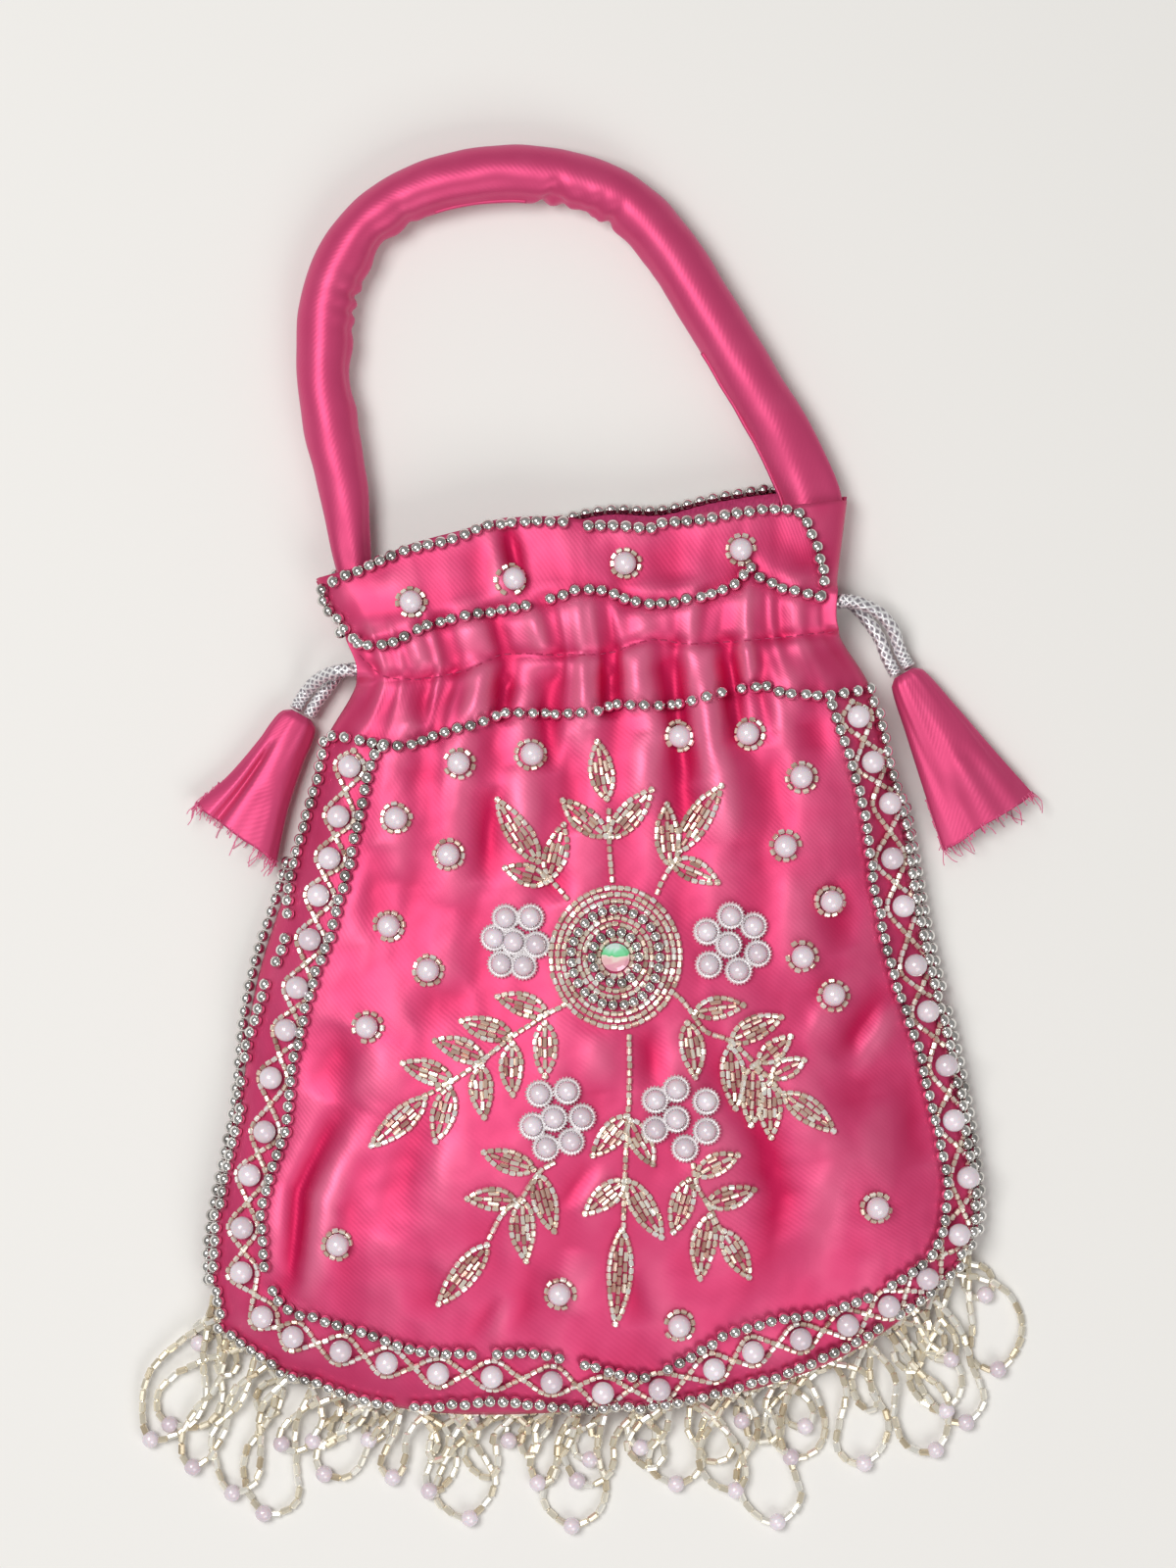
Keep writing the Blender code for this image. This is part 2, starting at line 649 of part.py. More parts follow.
def build_pearls():
    # single pearls, each in a ring of cut beads
    ring, base = PEARL * 0.70, SEED_BEAD * 0.7
    profile = ((0.0, PEARL * 0.88), (PEARL * 0.46, PEARL * 0.58), (PEARL * 0.42, base), (ring, base),
               (ring, 0.0), (0.0, 0.0))
    places = (
        (-46.5, 116.2), (-21.0, 122.0), (8.3, 126.2), (37.8, 129.7),
        (-34.2, 75.2), (-16.0, 77.5), (22.0, 82.2), (40.0, 82.8), (53.2, 71.8),
        (-50.2, 61.2), (-36.8, 52.0), (49.2, 54.2), (-52.0, 33.8), (-42.0, 22.5),
        (60.2, 40.2), (53.2, 26.0), (61.2, 16.0), (-57.5, 8.0), (72.2, -38.0),
        (-65.2, -47.5), (-8.2, -60.0), (22.0, -68.0),
    )
    for k, (x, y) in enumerate(places):
        seat(lathe(f"pearl_{k + 1:02d}", profile, 6, pearl), *drawn(x, y), ring)


def build_medallion():
    radius, stone = MEDALLION_DIAMETER * HALF, STONE_DIAMETER * HALF
    low, high = SEED_BEAD * 0.7, SILVER_BEAD * 0.85
    profile = (
        (stone + 0.0006, low), (radius * 0.34, high), (radius * 0.45, low), (radius * 0.58, low),
        (radius * 0.66, high), (radius * 0.75, low), (radius, low), (radius, 0.0), (stone + 0.0006, 0.0),
    )
    x, y = drawn(5.7, 25.8)
    disc = seat(lathe("medallion", profile, 18, champagne, hollow=True), x, y, radius)
    dome = ((0.0, high), (stone * 0.75, high * 0.95), (stone, high * 0.6), (stone, 0.0), (0.0, 0.0))
    gem = lathe("centre_stone", dome, 8, stone_foil)
    gem.rotation_mode = "QUATERNION"
    gem.rotation_quaternion = disc.rotation_quaternion
    gem.location = disc.location


def joined(name, pieces, finish_with):
    # one body from pieces that overlap
    first = pieces[0]
    for k, other in enumerate(pieces[1:]):
        union = first.modifiers.new(f"Union {k}", "BOOLEAN")
        union.operation = "UNION"
        union.use_self = True
        union.object = other
    solid = bpy.data.meshes.new_from_object(first.evaluated_get(bpy.context.evaluated_depsgraph_get()))
    made = link(bpy.data.objects.new(name, solid))
    made.matrix_world = first.matrix_world
    for piece in pieces:
        bpy.data.objects.remove(piece)
    return finish(made, finish_with, 50)


def build_flowers():
    # six pearls round a seventh, sewn on a bed of metal coil
    places = (("flower_left", -20.2, 29.8), ("flower_right", 34.5, 29.0),
              ("flower_low_left", -10.0, -15.3), ("flower_low_right", 21.3, -15.5))
    bed = SEED_BEAD * 0.7
    for name, x, y in places:
        bm = bmesh.new()
        bmesh.ops.create_cone(bm, cap_ends=True, segments=8, radius1=FLOWER_SPREAD * 1.18,
                              radius2=FLOWER_SPREAD * 1.18, depth=bed)
        bmesh.ops.translate(bm, verts=bm.verts, vec=(0, 0, bed * HALF))
        pieces = [make_object(name + "_bed", bm)]
        for k in range(7):
            a = math.radians(60 * k + 15)
            reach = FLOWER_SPREAD if k < 6 else 0.0
            bm = bmesh.new()
            bmesh.ops.create_icosphere(bm, subdivisions=1, radius=PEARL * 0.5)
            bmesh.ops.translate(bm, verts=bm.verts, vec=(
                reach * math.cos(a), reach * math.sin(a), bed + PEARL * 0.33))
            pieces.append(make_object(f"{name}_{k}", bm))
        bpy.context.view_layer.update()
        seat(joined(name, pieces, pearl), *drawn(x, y), FLOWER_SPREAD * 1.18)


def leaf_rings(base, tip, width):
    rings = []
    for share, full in ((0.0, 0.20), (0.48, 1.0), (1.0, 0.12)):
        flat = base.lerp(tip, share)
        tall = SEED_BEAD * (0.6 + 0.4 * full)
        centre = on_cloth(flat.x, flat.y, tall * HALF + TRIM_GAP * 1.5)
        along = (tip - base).normalized()
        rings.append(ring_round(centre, along, width * full, tall, 4))
    return rings


def build_sprays():
    # each spray is a stem through its points, with leaves from a base to a tip
    sprays = {
        "spray_top": (((4.5, 46.5), (4.0, 56.0), (3.5, 66.0)), (
            (3.6, 64.0, 0.9, 80.5), (4.4, 56.5, -7.5, 65.5), (4.2, 56.5, 14.8, 68.5))),
        "spray_top_left": (((-7.2, 41.5), (-12.0, 46.5), (-14.0, 50.0)), (
            (-13.5, 49.0, -24.2, 66.0), (-11.2, 46.0, -7.2, 60.0), (-11.0, 45.0, -22.2, 48.5))),
        "spray_top_right": (((16.5, 43.0), (19.0, 47.5), (20.0, 50.5)), (
            (20.0, 49.5, 18.8, 65.0), (20.0, 50.0, 33.0, 69.5), (19.0, 47.0, 31.8, 45.2))),
        "spray_left": (((-8.5, 13.0), (-15.0, 7.5), (-27.0, 0.5), (-44.0, -11.0)), (
            (-11.8, 10.8, -24.5, 15.5), (-20.0, 5.0, -33.7, 9.5), (-27.5, 0.5, -40.2, 4.5),
            (-36.0, -5.5, -48.5, -1.2), (-42.0, -10.0, -56.5, -22.2), (-12.8, 9.0, -12.2, -4.5),
            (-20.5, 4.0, -20.5, -9.2), (-28.5, -1.0, -27.8, -15.0), (-36.5, -6.5, -40.0, -21.0))),
        "spray_right": (((22.2, 15.0), (30.0, 7.0), (40.0, 1.5), (50.0, -10.0)), (
            (24.5, 12.0, 38.2, 13.5), (34.5, 4.0, 48.0, 10.5), (42.5, -0.5, 49.7, 5.6),
            (44.5, -3.5, 53.4, -0.3), (48.0, -8.0, 61.3, -18.5), (24.0, 13.5, 26.0, -4.6),
            (34.0, 5.0, 36.4, -12.8), (40.5, 0.0, 40.1, -17.1), (45.0, -4.5, 45.6, -20.1))),
        "spray_low_left": (((-11.0, -26.5), (-20.0, -37.0), (-27.5, -48.5)), (
            (-14.0, -29.0, -27.8, -23.9), (-19.2, -36.0, -31.9, -35.7), (-13.5, -28.5, -9.9, -44.0),
            (-19.0, -35.5, -16.9, -51.6), (-26.8, -47.0, -39.2, -62.5))),
        "spray_bottom": (((9.3, 6.0), (8.8, -14.0), (8.3, -35.0), (7.8, -46.0)), (
            (8.8, -14.5, 0.0, -24.8), (8.8, -15.0, 15.2, -27.4), (8.4, -31.0, -2.0, -39.5),
            (8.4, -31.0, 18.0, -40.0), (7.9, -44.0, 6.0, -67.5))),
        "spray_low_right": (((23.0, -27.0), (28.5, -35.0), (34.0, -45.0)), (
            (25.5, -30.5, 37.2, -25.8), (30.0, -37.0, 41.5, -34.5), (24.0, -28.5, 21.2, -44.0),
            (29.0, -35.5, 29.0, -53.0), (33.5, -43.5, 40.0, -56.5))),
    }
    for name, (stem, leaves) in sprays.items():
        stem_points = spaced([drawn(x, y).to_3d() for x, y in stem], STEM_PITCH)
        lifted = [on_cloth(p.x, p.y, SEED_BEAD * 0.45 + TRIM_GAP * 1.5) for p in stem_points]
        pieces = [string(name + "_stem", lifted, SEED_BEAD, beads=False)]
        joints = spaced(stem_points, SEED_BEAD)
        for k, (bx, by, tx, ty) in enumerate(leaves):
            sewn, tip = drawn(bx, by).to_3d(), drawn(tx, ty).to_3d()
            base = min(joints, key=lambda place: (place - sewn).length)
            base = base - (tip - base).normalized() * SEED_BEAD * HALF
            pieces.append(loft(f"{name}_{k}", leaf_rings(base, tip, LEAF_WIDTH)))
        joined(name, pieces, champagne)


def build_fringe():
    # loops of cut beads with a pearl at each tip, strung on one thread along the bottom seam
    edge = outline(-0.0018, -0.0018, 0.10)
    heading_line = [Vector((p.x, p.y, seam_height(0.0) - 0.0012)) for p in spaced(edge, FRINGE_PITCH)]
    pieces = [string("fringe", heading_line, FRINGE_BEAD * 1.2, beads=False)]
    low = FRINGE_BEAD * HALF + 0.0003
    shape = ((0.0, 0.28), (0.40, 0.32), (0.85, 0.27), (1.0, 0.0))
    for k in range(len(heading_line) - 1):
        a, b = heading_line[k], heading_line[k + 1]
        along = (b - a).normalized()
        outward = Vector((along.y, -along.x, 0.0))
        away = (outward + Vector((0.0, -FRINGE_HANG, 0.0))).normalized()
        spread = Vector((-away.y, away.x, 0.0)) * FRINGE_PITCH * away.dot(outward)
        length = FRINGE_LENGTH * (0.85 + 0.15 * math.cos(2.4 * k))
        centre = (a + b) * HALF
        path = []
        for side in (-1, 1):
            half_loop = shape if side < 0 else shape[-2::-1]
            for reach, wide in half_loop:
                beside = spread if reach > 0 else b - a
                p = centre + away * length * reach + beside * side * wide
                p.z = a.z + (low - a.z) * ease(reach, 0.0, 0.4)
                path.append(p)
        rings = []
        for i, (p, d) in enumerate(zip(path, headings(path))):
            tip = i == len(shape) - 1
            size = FRINGE_PEARL if tip else FRINGE_BEAD
            centre_point = Vector((p.x, p.y, max(p.z, size * HALF + 0.0003)))
            rings.append(ring_round(centre_point, d, size, size, 3, math.pi * HALF))
        pieces.append(loft(f"fringe_loop_{k}", rings))
    joined("bead_fringe", pieces, silver_lined)


for old in list(bpy.data.objects):
    bpy.data.objects.remove(old)
bag = bpy.data.collections.new("potli_bag")
bpy.context.scene.collection.children.link(bag)

satin = material("pink_satin", SATIN_PINK, 0.38)
lining_cloth = material("lining_cloth", LINING_PINK, 0.6)
wadding = material("wadding", WADDING_WHITE, 0.9)
braid = material("silver_braid", SILVER, 0.4, 0.7)
silver = material("silver_beads", SILVER, 0.2, 1.0)
champagne = material("cut_glass_beads", CHAMPAGNE, 0.25, 0.4)
silver_lined = material("silver_lined_beads", CHAMPAGNE, 0.2, 0.5)
pearl = material("pearl_beads", PEARL_WHITE, 0.25)
stone_foil = material("foil_stone", STONE_PINK, 0.15, 0.3)

front_satin, back_satin = build_outer_panels()
bpy.context.view_layer.update()
cloth = BVHTree.FromObject(front_satin, bpy.context.evaluated_depsgraph_get())
build_lining()
build_handle()
build_drawstring(1, "right", (79.8, 98.5), (101.4, 60.1), 5.5, RIGHT_HEM_WIDTH)
build_drawstring(-1, "left", (-74.8, 87.8), (-93.5, 54.5), 3.2, LEFT_HEM_WIDTH)
build_bead_rows()
build_border_braid()
build_pearls()
build_medallion()
build_flowers()
build_sprays()
build_fringe()
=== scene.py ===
import math
import random
from functools import lru_cache

import bmesh
import bpy
from mathutils import Matrix, Vector, noise
from mathutils.bvhtree import BVHTree


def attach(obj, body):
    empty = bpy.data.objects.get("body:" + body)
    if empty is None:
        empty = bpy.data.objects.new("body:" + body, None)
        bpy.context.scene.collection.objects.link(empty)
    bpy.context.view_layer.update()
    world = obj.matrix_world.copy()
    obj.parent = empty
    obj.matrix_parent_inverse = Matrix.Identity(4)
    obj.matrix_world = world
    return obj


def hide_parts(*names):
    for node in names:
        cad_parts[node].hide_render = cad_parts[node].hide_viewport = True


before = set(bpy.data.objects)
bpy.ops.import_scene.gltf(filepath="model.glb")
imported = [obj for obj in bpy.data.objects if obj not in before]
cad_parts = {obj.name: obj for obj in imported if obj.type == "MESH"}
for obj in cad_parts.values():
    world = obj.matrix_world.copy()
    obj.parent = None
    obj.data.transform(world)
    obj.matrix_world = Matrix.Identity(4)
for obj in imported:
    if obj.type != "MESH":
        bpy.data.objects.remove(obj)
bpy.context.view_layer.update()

scene = bpy.context.scene
rng = random.Random(11)
mm = 0.001
upright = Vector((0, 0, 1))
pxPerMm, pictureOrigin = 4.0, (605, 1080)
# The picture shows the plane 12 mm above the floor at its true size, from 1.2 m above that plane
pictureFloor, cameraReach, pictureCentre = 12.0, 1200.0, (-1.25, 70.0)

# Stations of the lying pouch, in mm: share of the height, centre y, half width, tilt, corner rise, centre x
stations = (
    (0.00, -90.5, 92.80, 3.90, 26.7, -0.5), (0.10, -66.0, 97.25, 3.90, 14.952, 1.0),
    (0.20, -44.0, 96.95, 3.90, 6.942, 0.8), (0.35, -10.0, 91.55, 3.90, 1.869, 1.0),
    (0.50, 24.0, 85.75, 4.29, 0.0, -1.0), (0.65, 58.0, 77.50, 4.875, 0.0, 1.1),
    (0.78, 86.4, 70.70, 5.80, 0.0, 1.1), (0.87, 103.1, 61.60, 5.80, 0.0, 1.2),
    (0.92, 112.8, 62.75, 5.80, 0.0, -0.2), (1.00, 132.5, 68.70, 8.40, 0.0, -2.9),
)
depths = ((0.0, 22.08), (0.35, 24.0), (0.78, 19.5), (0.87, 17.6), (0.92, 17.6), (1.0, 15.0))
# How far the rim bulges upward of its straight line, from its left to its right end
frontCrown = ((-1.0, 0.0), (-0.82, 1.4), (-0.65, 4.8), (-0.45, 6.6), (-0.30, 8.0), (-0.10, 6.6), (0.05, 4.0),
              (0.25, 2.0), (0.55, 2.0), (0.8, 0.6), (1.0, 0.0))
backCrown = ((-1.0, -0.6), (-0.6, 1.0), (-0.3, 3.4), (-0.05, 5.6), (0.1, 6.2), (0.3, 4.0), (0.5, 5.2), (0.75, 5.0),
             (1.0, 1.0))
seamHeightLow = 6.0
layerGap = 0.3
satinWall = 0.6
gatherDepth = 2.2
gatherCount = 9
casingDip = 0.6


@lru_cache(maxsize=None)
def read(table, v, column):
    # a smooth curve through one column of a table of stations
    v = min(max(v, table[0][0]), table[-1][0])
    k = max(i for i in range(len(table) - 1) if table[i][0] <= v)
    v0, v1 = table[k][0], table[k + 1][0]
    a, b = table[k][column], table[k + 1][column]

    def slope(i):
        lo, hi = max(i - 1, 0), min(i + 1, len(table) - 1)
        return (table[hi][column] - table[lo][column]) / (table[hi][0] - table[lo][0])

    t = (v - v0) / (v1 - v0)
    m0, m1 = slope(k) * (v1 - v0), slope(k + 1) * (v1 - v0)
    return ((2 * t**3 - 3 * t**2 + 1) * a + (t**3 - 2 * t**2 + t) * m0
            + (3 * t**2 - 2 * t**3) * b + (t**3 - t**2) * m1)


def ease(x, low, high):
    t = min(max((x - low) / (high - low), 0.0), 1.0)
    return t * t * (3 - 2 * t)


def bell(x):
    return math.exp(-(x ** 2))


def mix(a, b, t):
    return a + (b - a) * t


def ripple(x, y, z=0.0):
    return noise.noise(Vector((x, y, z)))


def fromPixels(flat):
    # places in the picture, x and y in turn, in mm on the bag
    return [Vector(((x - pictureOrigin[0]) / pxPerMm, (pictureOrigin[1] - y) / pxPerMm, 0.0))
            for x, y in zip(flat[::2], flat[1::2])]


# Camera


def placeCamera():
    # straight above the bag, its handle towards the top of the picture
    settings = dict(height=1.212, across=-0.00125, along=0.070, seen=0.400, sensor=24.0, floor=0.012)
    data = bpy.data.cameras.new("viewCamera")
    data.sensor_fit = "VERTICAL"
    data.sensor_height = settings["sensor"]
    data.lens = settings["sensor"] * (settings["height"] - settings["floor"]) / settings["seen"]
    camera = bpy.data.objects.new("viewCamera", data)
    camera.location = (settings["across"], settings["along"], settings["height"])
    scene.collection.objects.link(camera)
    scene.camera = camera


placeCamera()
print("camera placed")


# Materials


def hexColour(code):
    parts = [int(code[i:i + 2], 16) / 255 for i in (0, 2, 4)]
    return tuple(c / 12.92 if c <= 0.04045 else ((c + 0.055) / 1.055) ** 2.4 for c in parts) + (1.0,)


def feed(tree, node, inputs):
    # sets a node's inputs, each from a value or from another node's output
    for key, value in inputs.items():
        if isinstance(value, bpy.types.NodeSocket):
            tree.links.new(value, node.inputs[key])
        else:
            node.inputs[key].default_value = value
    return node


def addNode(tree, kind, inputs=None, output=0, stops=(), **settings):
    # adds a node and gives one of its outputs; stops are the places and colours of a ramp
    made = tree.nodes.new("ShaderNode" + kind)
    for key, value in settings.items():
        setattr(made, key, value)
    for _ in stops[2:]:
        made.color_ramp.elements.new(0.5)
    if stops:
        for element, (place, colour) in zip(made.color_ramp.elements, stops):
            element.position, element.color = place, hexColour(colour)
    return feed(tree, made, inputs or {}).outputs[output]


def principled(name, **inputs):
    made = bpy.data.materials.new(name)
    made.use_nodes = True
    tree = made.node_tree
    shader = tree.nodes["Principled BSDF"]
    feed(tree, shader, {key.replace("_", " "): value for key, value in inputs.items()})
    return made, tree, shader


def satinMaterial(name, tones, roughness, bloom):
    # polyester satin: long floats of bright yarn over a diagonal twill, painted darker in its folds as painted shade
    # and lighter on their ridges as painted highlight; the real twill of 0.3 mm is too fine to show and is drawn 1 mm
    # apart, over blotches of 14 mm and slubs of 0.7 mm
    made, tree, shader = principled(name, Roughness=roughness, Metallic=0.42, Anisotropic=0.3)
    place = addNode(tree, "UVMap", uv_map="clothUv")
    # painted shade and painted highlight: how far each vertex stands below or above the cloth round it
    paintedShading = addNode(tree, "Attribute", output="Fac", attribute_name="paintedFoldShading")
    blotch = addNode(tree, "TexNoise", {"Vector": place, "Scale": 70.0, "Detail": 3.0}, "Fac")
    mottled = addNode(tree, "Math", {0: blotch, 1: 0.16, 2: -0.08}, operation="MULTIPLY_ADD")
    depth = addNode(tree, "Math", {0: paintedShading, 1: 0.5, 2: 0.5}, operation="MULTIPLY_ADD")
    factor = addNode(tree, "Math", {0: depth, 1: mottled}, operation="ADD")
    # the ramp's first tone is painted shade, its last tone painted highlight, its middle tone the satin's own colour
    colour = addNode(tree, "ValToRGB", {"Fac": factor}, stops=tuple(zip((0.0, 0.5, 1.0), tones)))
    twill = addNode(tree, "TexWave", {"Vector": place, "Scale": 420.0, "Distortion": 1.2, "Detail": 1.0}, "Fac",
                    wave_type="BANDS", bands_direction="DIAGONAL")
    slub = addNode(tree, "TexNoise", {"Vector": place, "Scale": 1500.0, "Detail": 2.0}, "Fac")
    both = addNode(tree, "Math", {0: twill, 1: slub}, operation="ADD")
    bump = addNode(tree, "Bump", {"Height": both, "Strength": 0.06, "Distance": 0.0002})
    feed(tree, shader, {"Specular IOR Level": 0.25, "Sheen Weight": bloom, "Sheen Tint": hexColour("C79BE8"),
                        "Base Color": colour, "Normal": bump})
    return made


def liningMaterial():
    # plain woven lining, duller and darker than the satin, its threads drawn 1 mm apart so that they show
    made, tree, shader = principled("liningCloth", Roughness=0.7)
    place = addNode(tree, "UVMap", uv_map="clothUv")
    weave = addNode(tree, "TexNoise", {"Vector": place, "Scale": 900.0, "Detail": 2.0}, "Fac")
    colour = addNode(tree, "ValToRGB", {"Fac": weave}, stops=((0.35, "A82A5C"), (0.65, "C23A70")))
    bump = addNode(tree, "Bump", {"Height": weave, "Strength": 0.2, "Distance": 0.0002})
    feed(tree, shader, {"Base Color": colour, "Normal": bump})
    return made


def tintBeads(tree, shader, stops):
    # gives each bead of a piece its own tone
    tone = addNode(tree, "NewGeometry", output="Random Per Island")
    feed(tree, shader, {"Base Color": addNode(tree, "ValToRGB", {"Fac": tone}, stops=stops)})


def silverBeadMaterial():
    # chromed plastic beads, some of them worn dull
    made, tree, shader = principled("silverBeads", Metallic=1.0, Roughness=0.16)
    tintBeads(tree, shader, ((0.0, "B4B0AC"), (0.12, "DAD7D3"), (0.8, "F0EEEB")))
    return made


def cutGlassMaterial(name, stops):
    # silver-lined glass tubes, champagne with a rosy reflection of the cloth under them
    made, tree, shader = principled(name, Roughness=0.20, Metallic=0.55, Coat_Weight=0.5, Coat_Roughness=0.06)
    tintBeads(tree, shader, stops)
    return made


def pearlMaterial():
    # imitation pearl: pearl lacquer over a plastic ball
    made, tree, shader = principled("pearlLacquer", Roughness=0.26, Coat_Weight=0.7, Coat_Roughness=0.07,
                                    Subsurface_Weight=0.15, Subsurface_Scale=0.001, Specular_IOR_Level=0.6,
                                    Sheen_Weight=0.15, Sheen_Tint=hexColour("E8D8FF"))
    tintBeads(tree, shader, ((0.0, "D6C6CE"), (0.5, "E2D5DC"), (1.0, "ECE1E8")))
    return made


def coilMaterial():
    # springy silver coil, bright on its ridges
    return principled("silverCoil", Base_Color=hexColour("FAF8F8"), Metallic=0.45, Roughness=0.25)[0]


def threadMaterial(name, tone):
    # loose yarn of the satin, and sewing thread
    return principled(name, Base_Color=hexColour(tone), Roughness=0.6)[0]


def waddingMaterial():
    # polyester wadding
    return principled("waddingFill", Base_Color=hexColour("ECEAE4"), Roughness=0.9)[0]


def paperMaterial():
    # matt studio paper
    return principled("floorPaper", Base_Color=hexColour("E9E7E3"), Roughness=0.9)[0]


def braidMaterial():
    # silver thread braided over a white core: plaits of 1.7 mm and flakes of 0.4 mm; the colour follows their relief,
    # painted shade in the gaps and round the flakes' edges, painted highlight on the crests
    made, tree, shader = principled("silverBraid", Roughness=0.34, Metallic=0.5)
    place = addNode(tree, "UVMap", uv_map="clothUv")
    waves = []
    for turn in (0.7, -0.7):
        turned = addNode(tree, "Mapping", {"Vector": place, "Rotation": (0.0, 0.0, turn)})
        waves.append(addNode(tree, "TexWave", {"Vector": turned, "Scale": 190.0, "Distortion": 3.0, "Detail": 2.0},
                             "Fac"))
    plait = addNode(tree, "Math", dict(enumerate(waves)), operation="MAXIMUM")
    glitter = addNode(tree, "TexVoronoi", {"Vector": place, "Scale": 2400.0}, "Distance")
    both = addNode(tree, "Math", {0: glitter, 1: -0.35, 2: plait}, operation="MULTIPLY_ADD")
    # painted shade grey in the low places of the relief, painted highlight white on the high ones
    colour = addNode(tree, "ValToRGB", {"Fac": both}, stops=((0.20, "9A949C"), (0.50, "D8D4D8"), (0.80, "FFFFFF")))
    bump = addNode(tree, "Bump", {"Height": both, "Strength": 0.6, "Distance": 0.0004})
    feed(tree, shader, {"Base Color": colour, "Normal": bump})
    return made


def stoneMaterial():
    # a flat-backed plastic stone with a foil that shifts from pink to green in patches of 3 mm
    made, tree, shader = principled("foilStone", Roughness=0.15, Metallic=0.15, Coat_Weight=1.0, Coat_Roughness=0.05)
    place = addNode(tree, "TexCoord", output="Object")
    up = addNode(tree, "SeparateXYZ", {"Vector": place}, "Y")
    height = addNode(tree, "Math", {0: up, 1: 110.0, 2: -2.73}, operation="MULTIPLY_ADD")
    patches = addNode(tree, "TexNoise", {"Vector": place, "Scale": 300.0, "Detail": 1.0, "Distortion": 0.8}, "Fac")
    shift = addNode(tree, "Math", {0: patches, 1: 0.8, 2: height}, operation="MULTIPLY_ADD")
    stops = ((0.25, "F0A6BA"), (0.50, "F6C6C6"), (0.62, "F8E6DA"), (0.68, "62D488"), (0.85, "8FE8B4"), (1.0, "D8F0E8"))
    feed(tree, shader, {"Base Color": addNode(tree, "ValToRGB", {"Fac": shift}, stops=stops)})
    return made


# on the front, the darkest satin tone is painted shade in the folds and the lightest is painted highlight on the
# ridges; pieces without the fold note keep to the middle tone
satin = satinMaterial("pinkSatin", ("C0124E", "D34574", "E87096"), 0.47, 0.0)
handleSatin = satinMaterial("handleSatin", ("A41C50", "D04876", "F684AC"), 0.45, 0.10)
lining = liningMaterial()
silver = silverBeadMaterial()
cutGlass = cutGlassMaterial("cutGlass", ((0.0, "BE9F8E"), (0.12, "DCC5B2"), (0.40, "EEDFCC"), (0.70, "FBF3E5"),
                                         (0.95, "FFFEF8")))
leafGlass = cutGlassMaterial("leafGlass", ((0.0, "C08E82"), (0.3, "DDBBAA"), (0.6, "EFDAC8"), (0.85, "FBF4E6"),
                                           (1.0, "FFFFFC")))
fringeGlass = cutGlassMaterial("fringeGlass", ((0.0, "CDBB9C"), (0.15, "E2D6BC"), (0.5, "F2EAD6"), (0.9, "FFFCF2")))
pearl = pearlMaterial()
braid = braidMaterial()
pinkThread = threadMaterial("pinkThread", "E8709A")
stitchThread = threadMaterial("stitchThread", "B02A5C")
coilMetal = coilMaterial()
wadding = waddingMaterial()
stoneFoil = stoneMaterial()
print("materials made")


# Making pieces


def addPiece(name, bm, material, body="bag", replaces=(), smooth=True):
    # a finished piece, in metres, riding on its body
    bmesh.ops.scale(bm, vec=(mm, mm, mm), verts=bm.verts)
    mesh = bpy.data.meshes.new(name)
    bm.to_mesh(mesh)
    bm.free()
    mesh.materials.append(material)
    if smooth:
        mesh.shade_smooth()
    piece = bpy.data.objects.new(name, mesh)
    scene.collection.objects.link(piece)
    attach(piece, body)
    if replaces:
        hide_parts(*replaces)
    return piece


def wrapGrid(columns, rows, place, size, closed=False):
    # a grid laid through place(s, t), with its own size in metres as its cloth coordinates
    bm = bmesh.new()
    uvLayer = bm.loops.layers.uv.new("clothUv")
    bmesh.ops.create_grid(bm, x_segments=columns, y_segments=rows, size=0.5)
    for face in bm.faces:
        for loop in face.loops:
            across, along = loop.vert.co.x + 0.5, loop.vert.co.y + 0.5
            loop[uvLayer].uv = (across * size[0] * mm, along * size[1] * mm)
    for vert in bm.verts:
        vert.co = place(vert.co.x + 0.5, vert.co.y + 0.5)
    if closed:
        bmesh.ops.remove_doubles(bm, verts=bm.verts, dist=0.0005)
    bmesh.ops.recalc_face_normals(bm, faces=bm.faces)
    return bm


def thicken(piece, wall):
    # gives a sheet its wall, inward
    made = piece.modifiers.new("Cloth", "SOLIDIFY")
    made.thickness = wall * mm
    made.offset = -1.0
    return piece


def upward(bm):
    # turns a sheet's faces to the sky
    if sum(face.normal.z * face.calc_area() for face in bm.faces) < 0:
        bmesh.ops.reverse_faces(bm, faces=bm.faces)


def curveThrough(points, count):
    # evenly counted points on a smooth curve through the given ones
    out = []
    for k in range(count):
        t = k * (len(points) - 1) / (count - 1)
        i = min(int(t), len(points) - 2)
        f = t - i
        p0, p1, p2 = points[max(i - 1, 0)], points[i], points[i + 1]
        p3 = points[min(i + 2, len(points) - 1)]
        out.append(0.5 * (2 * p1 + (p2 - p0) * f + (2 * p0 - 5 * p1 + 4 * p2 - p3) * f**2
                          + (3 * p1 - p0 - 3 * p2 + p3) * f**3))
    return out


def pathLength(path):
    return sum((b - a).length for a, b in zip(path, path[1:]))


def spaced(path, pitch):
    # points at even spacing along a path
    lengths = [0.0]
    for a, b in zip(path, path[1:]):
        lengths.append(lengths[-1] + (b - a).length)
    count = max(1, round(lengths[-1] / pitch))
    out, k = [], 0
    for i in range(count + 1):
        want = lengths[-1] * i / count
        while k < len(path) - 2 and lengths[k + 1] < want:
            k += 1
        share = (want - lengths[k]) / max(lengths[k + 1] - lengths[k], 1e-6)
        out.append(path[k].lerp(path[k + 1], share))
    return out


def camel(node):
    # flower_low_left is shown by flowerLowLeft
    first, *rest = node.split("_")
    return first + "".join(word.title() for word in rest)


def headings(path):
    last = len(path) - 1
    return [(path[min(i + 1, last)] - path[max(i - 1, 0)]).normalized() for i in range(last + 1)]


def crossAxes(along):
    # level and upright directions across a path
    side = along.cross(upright)
    side = side.normalized() if side.length > 1e-4 else Vector((1, 0, 0))
    return side, side.cross(along).normalized()


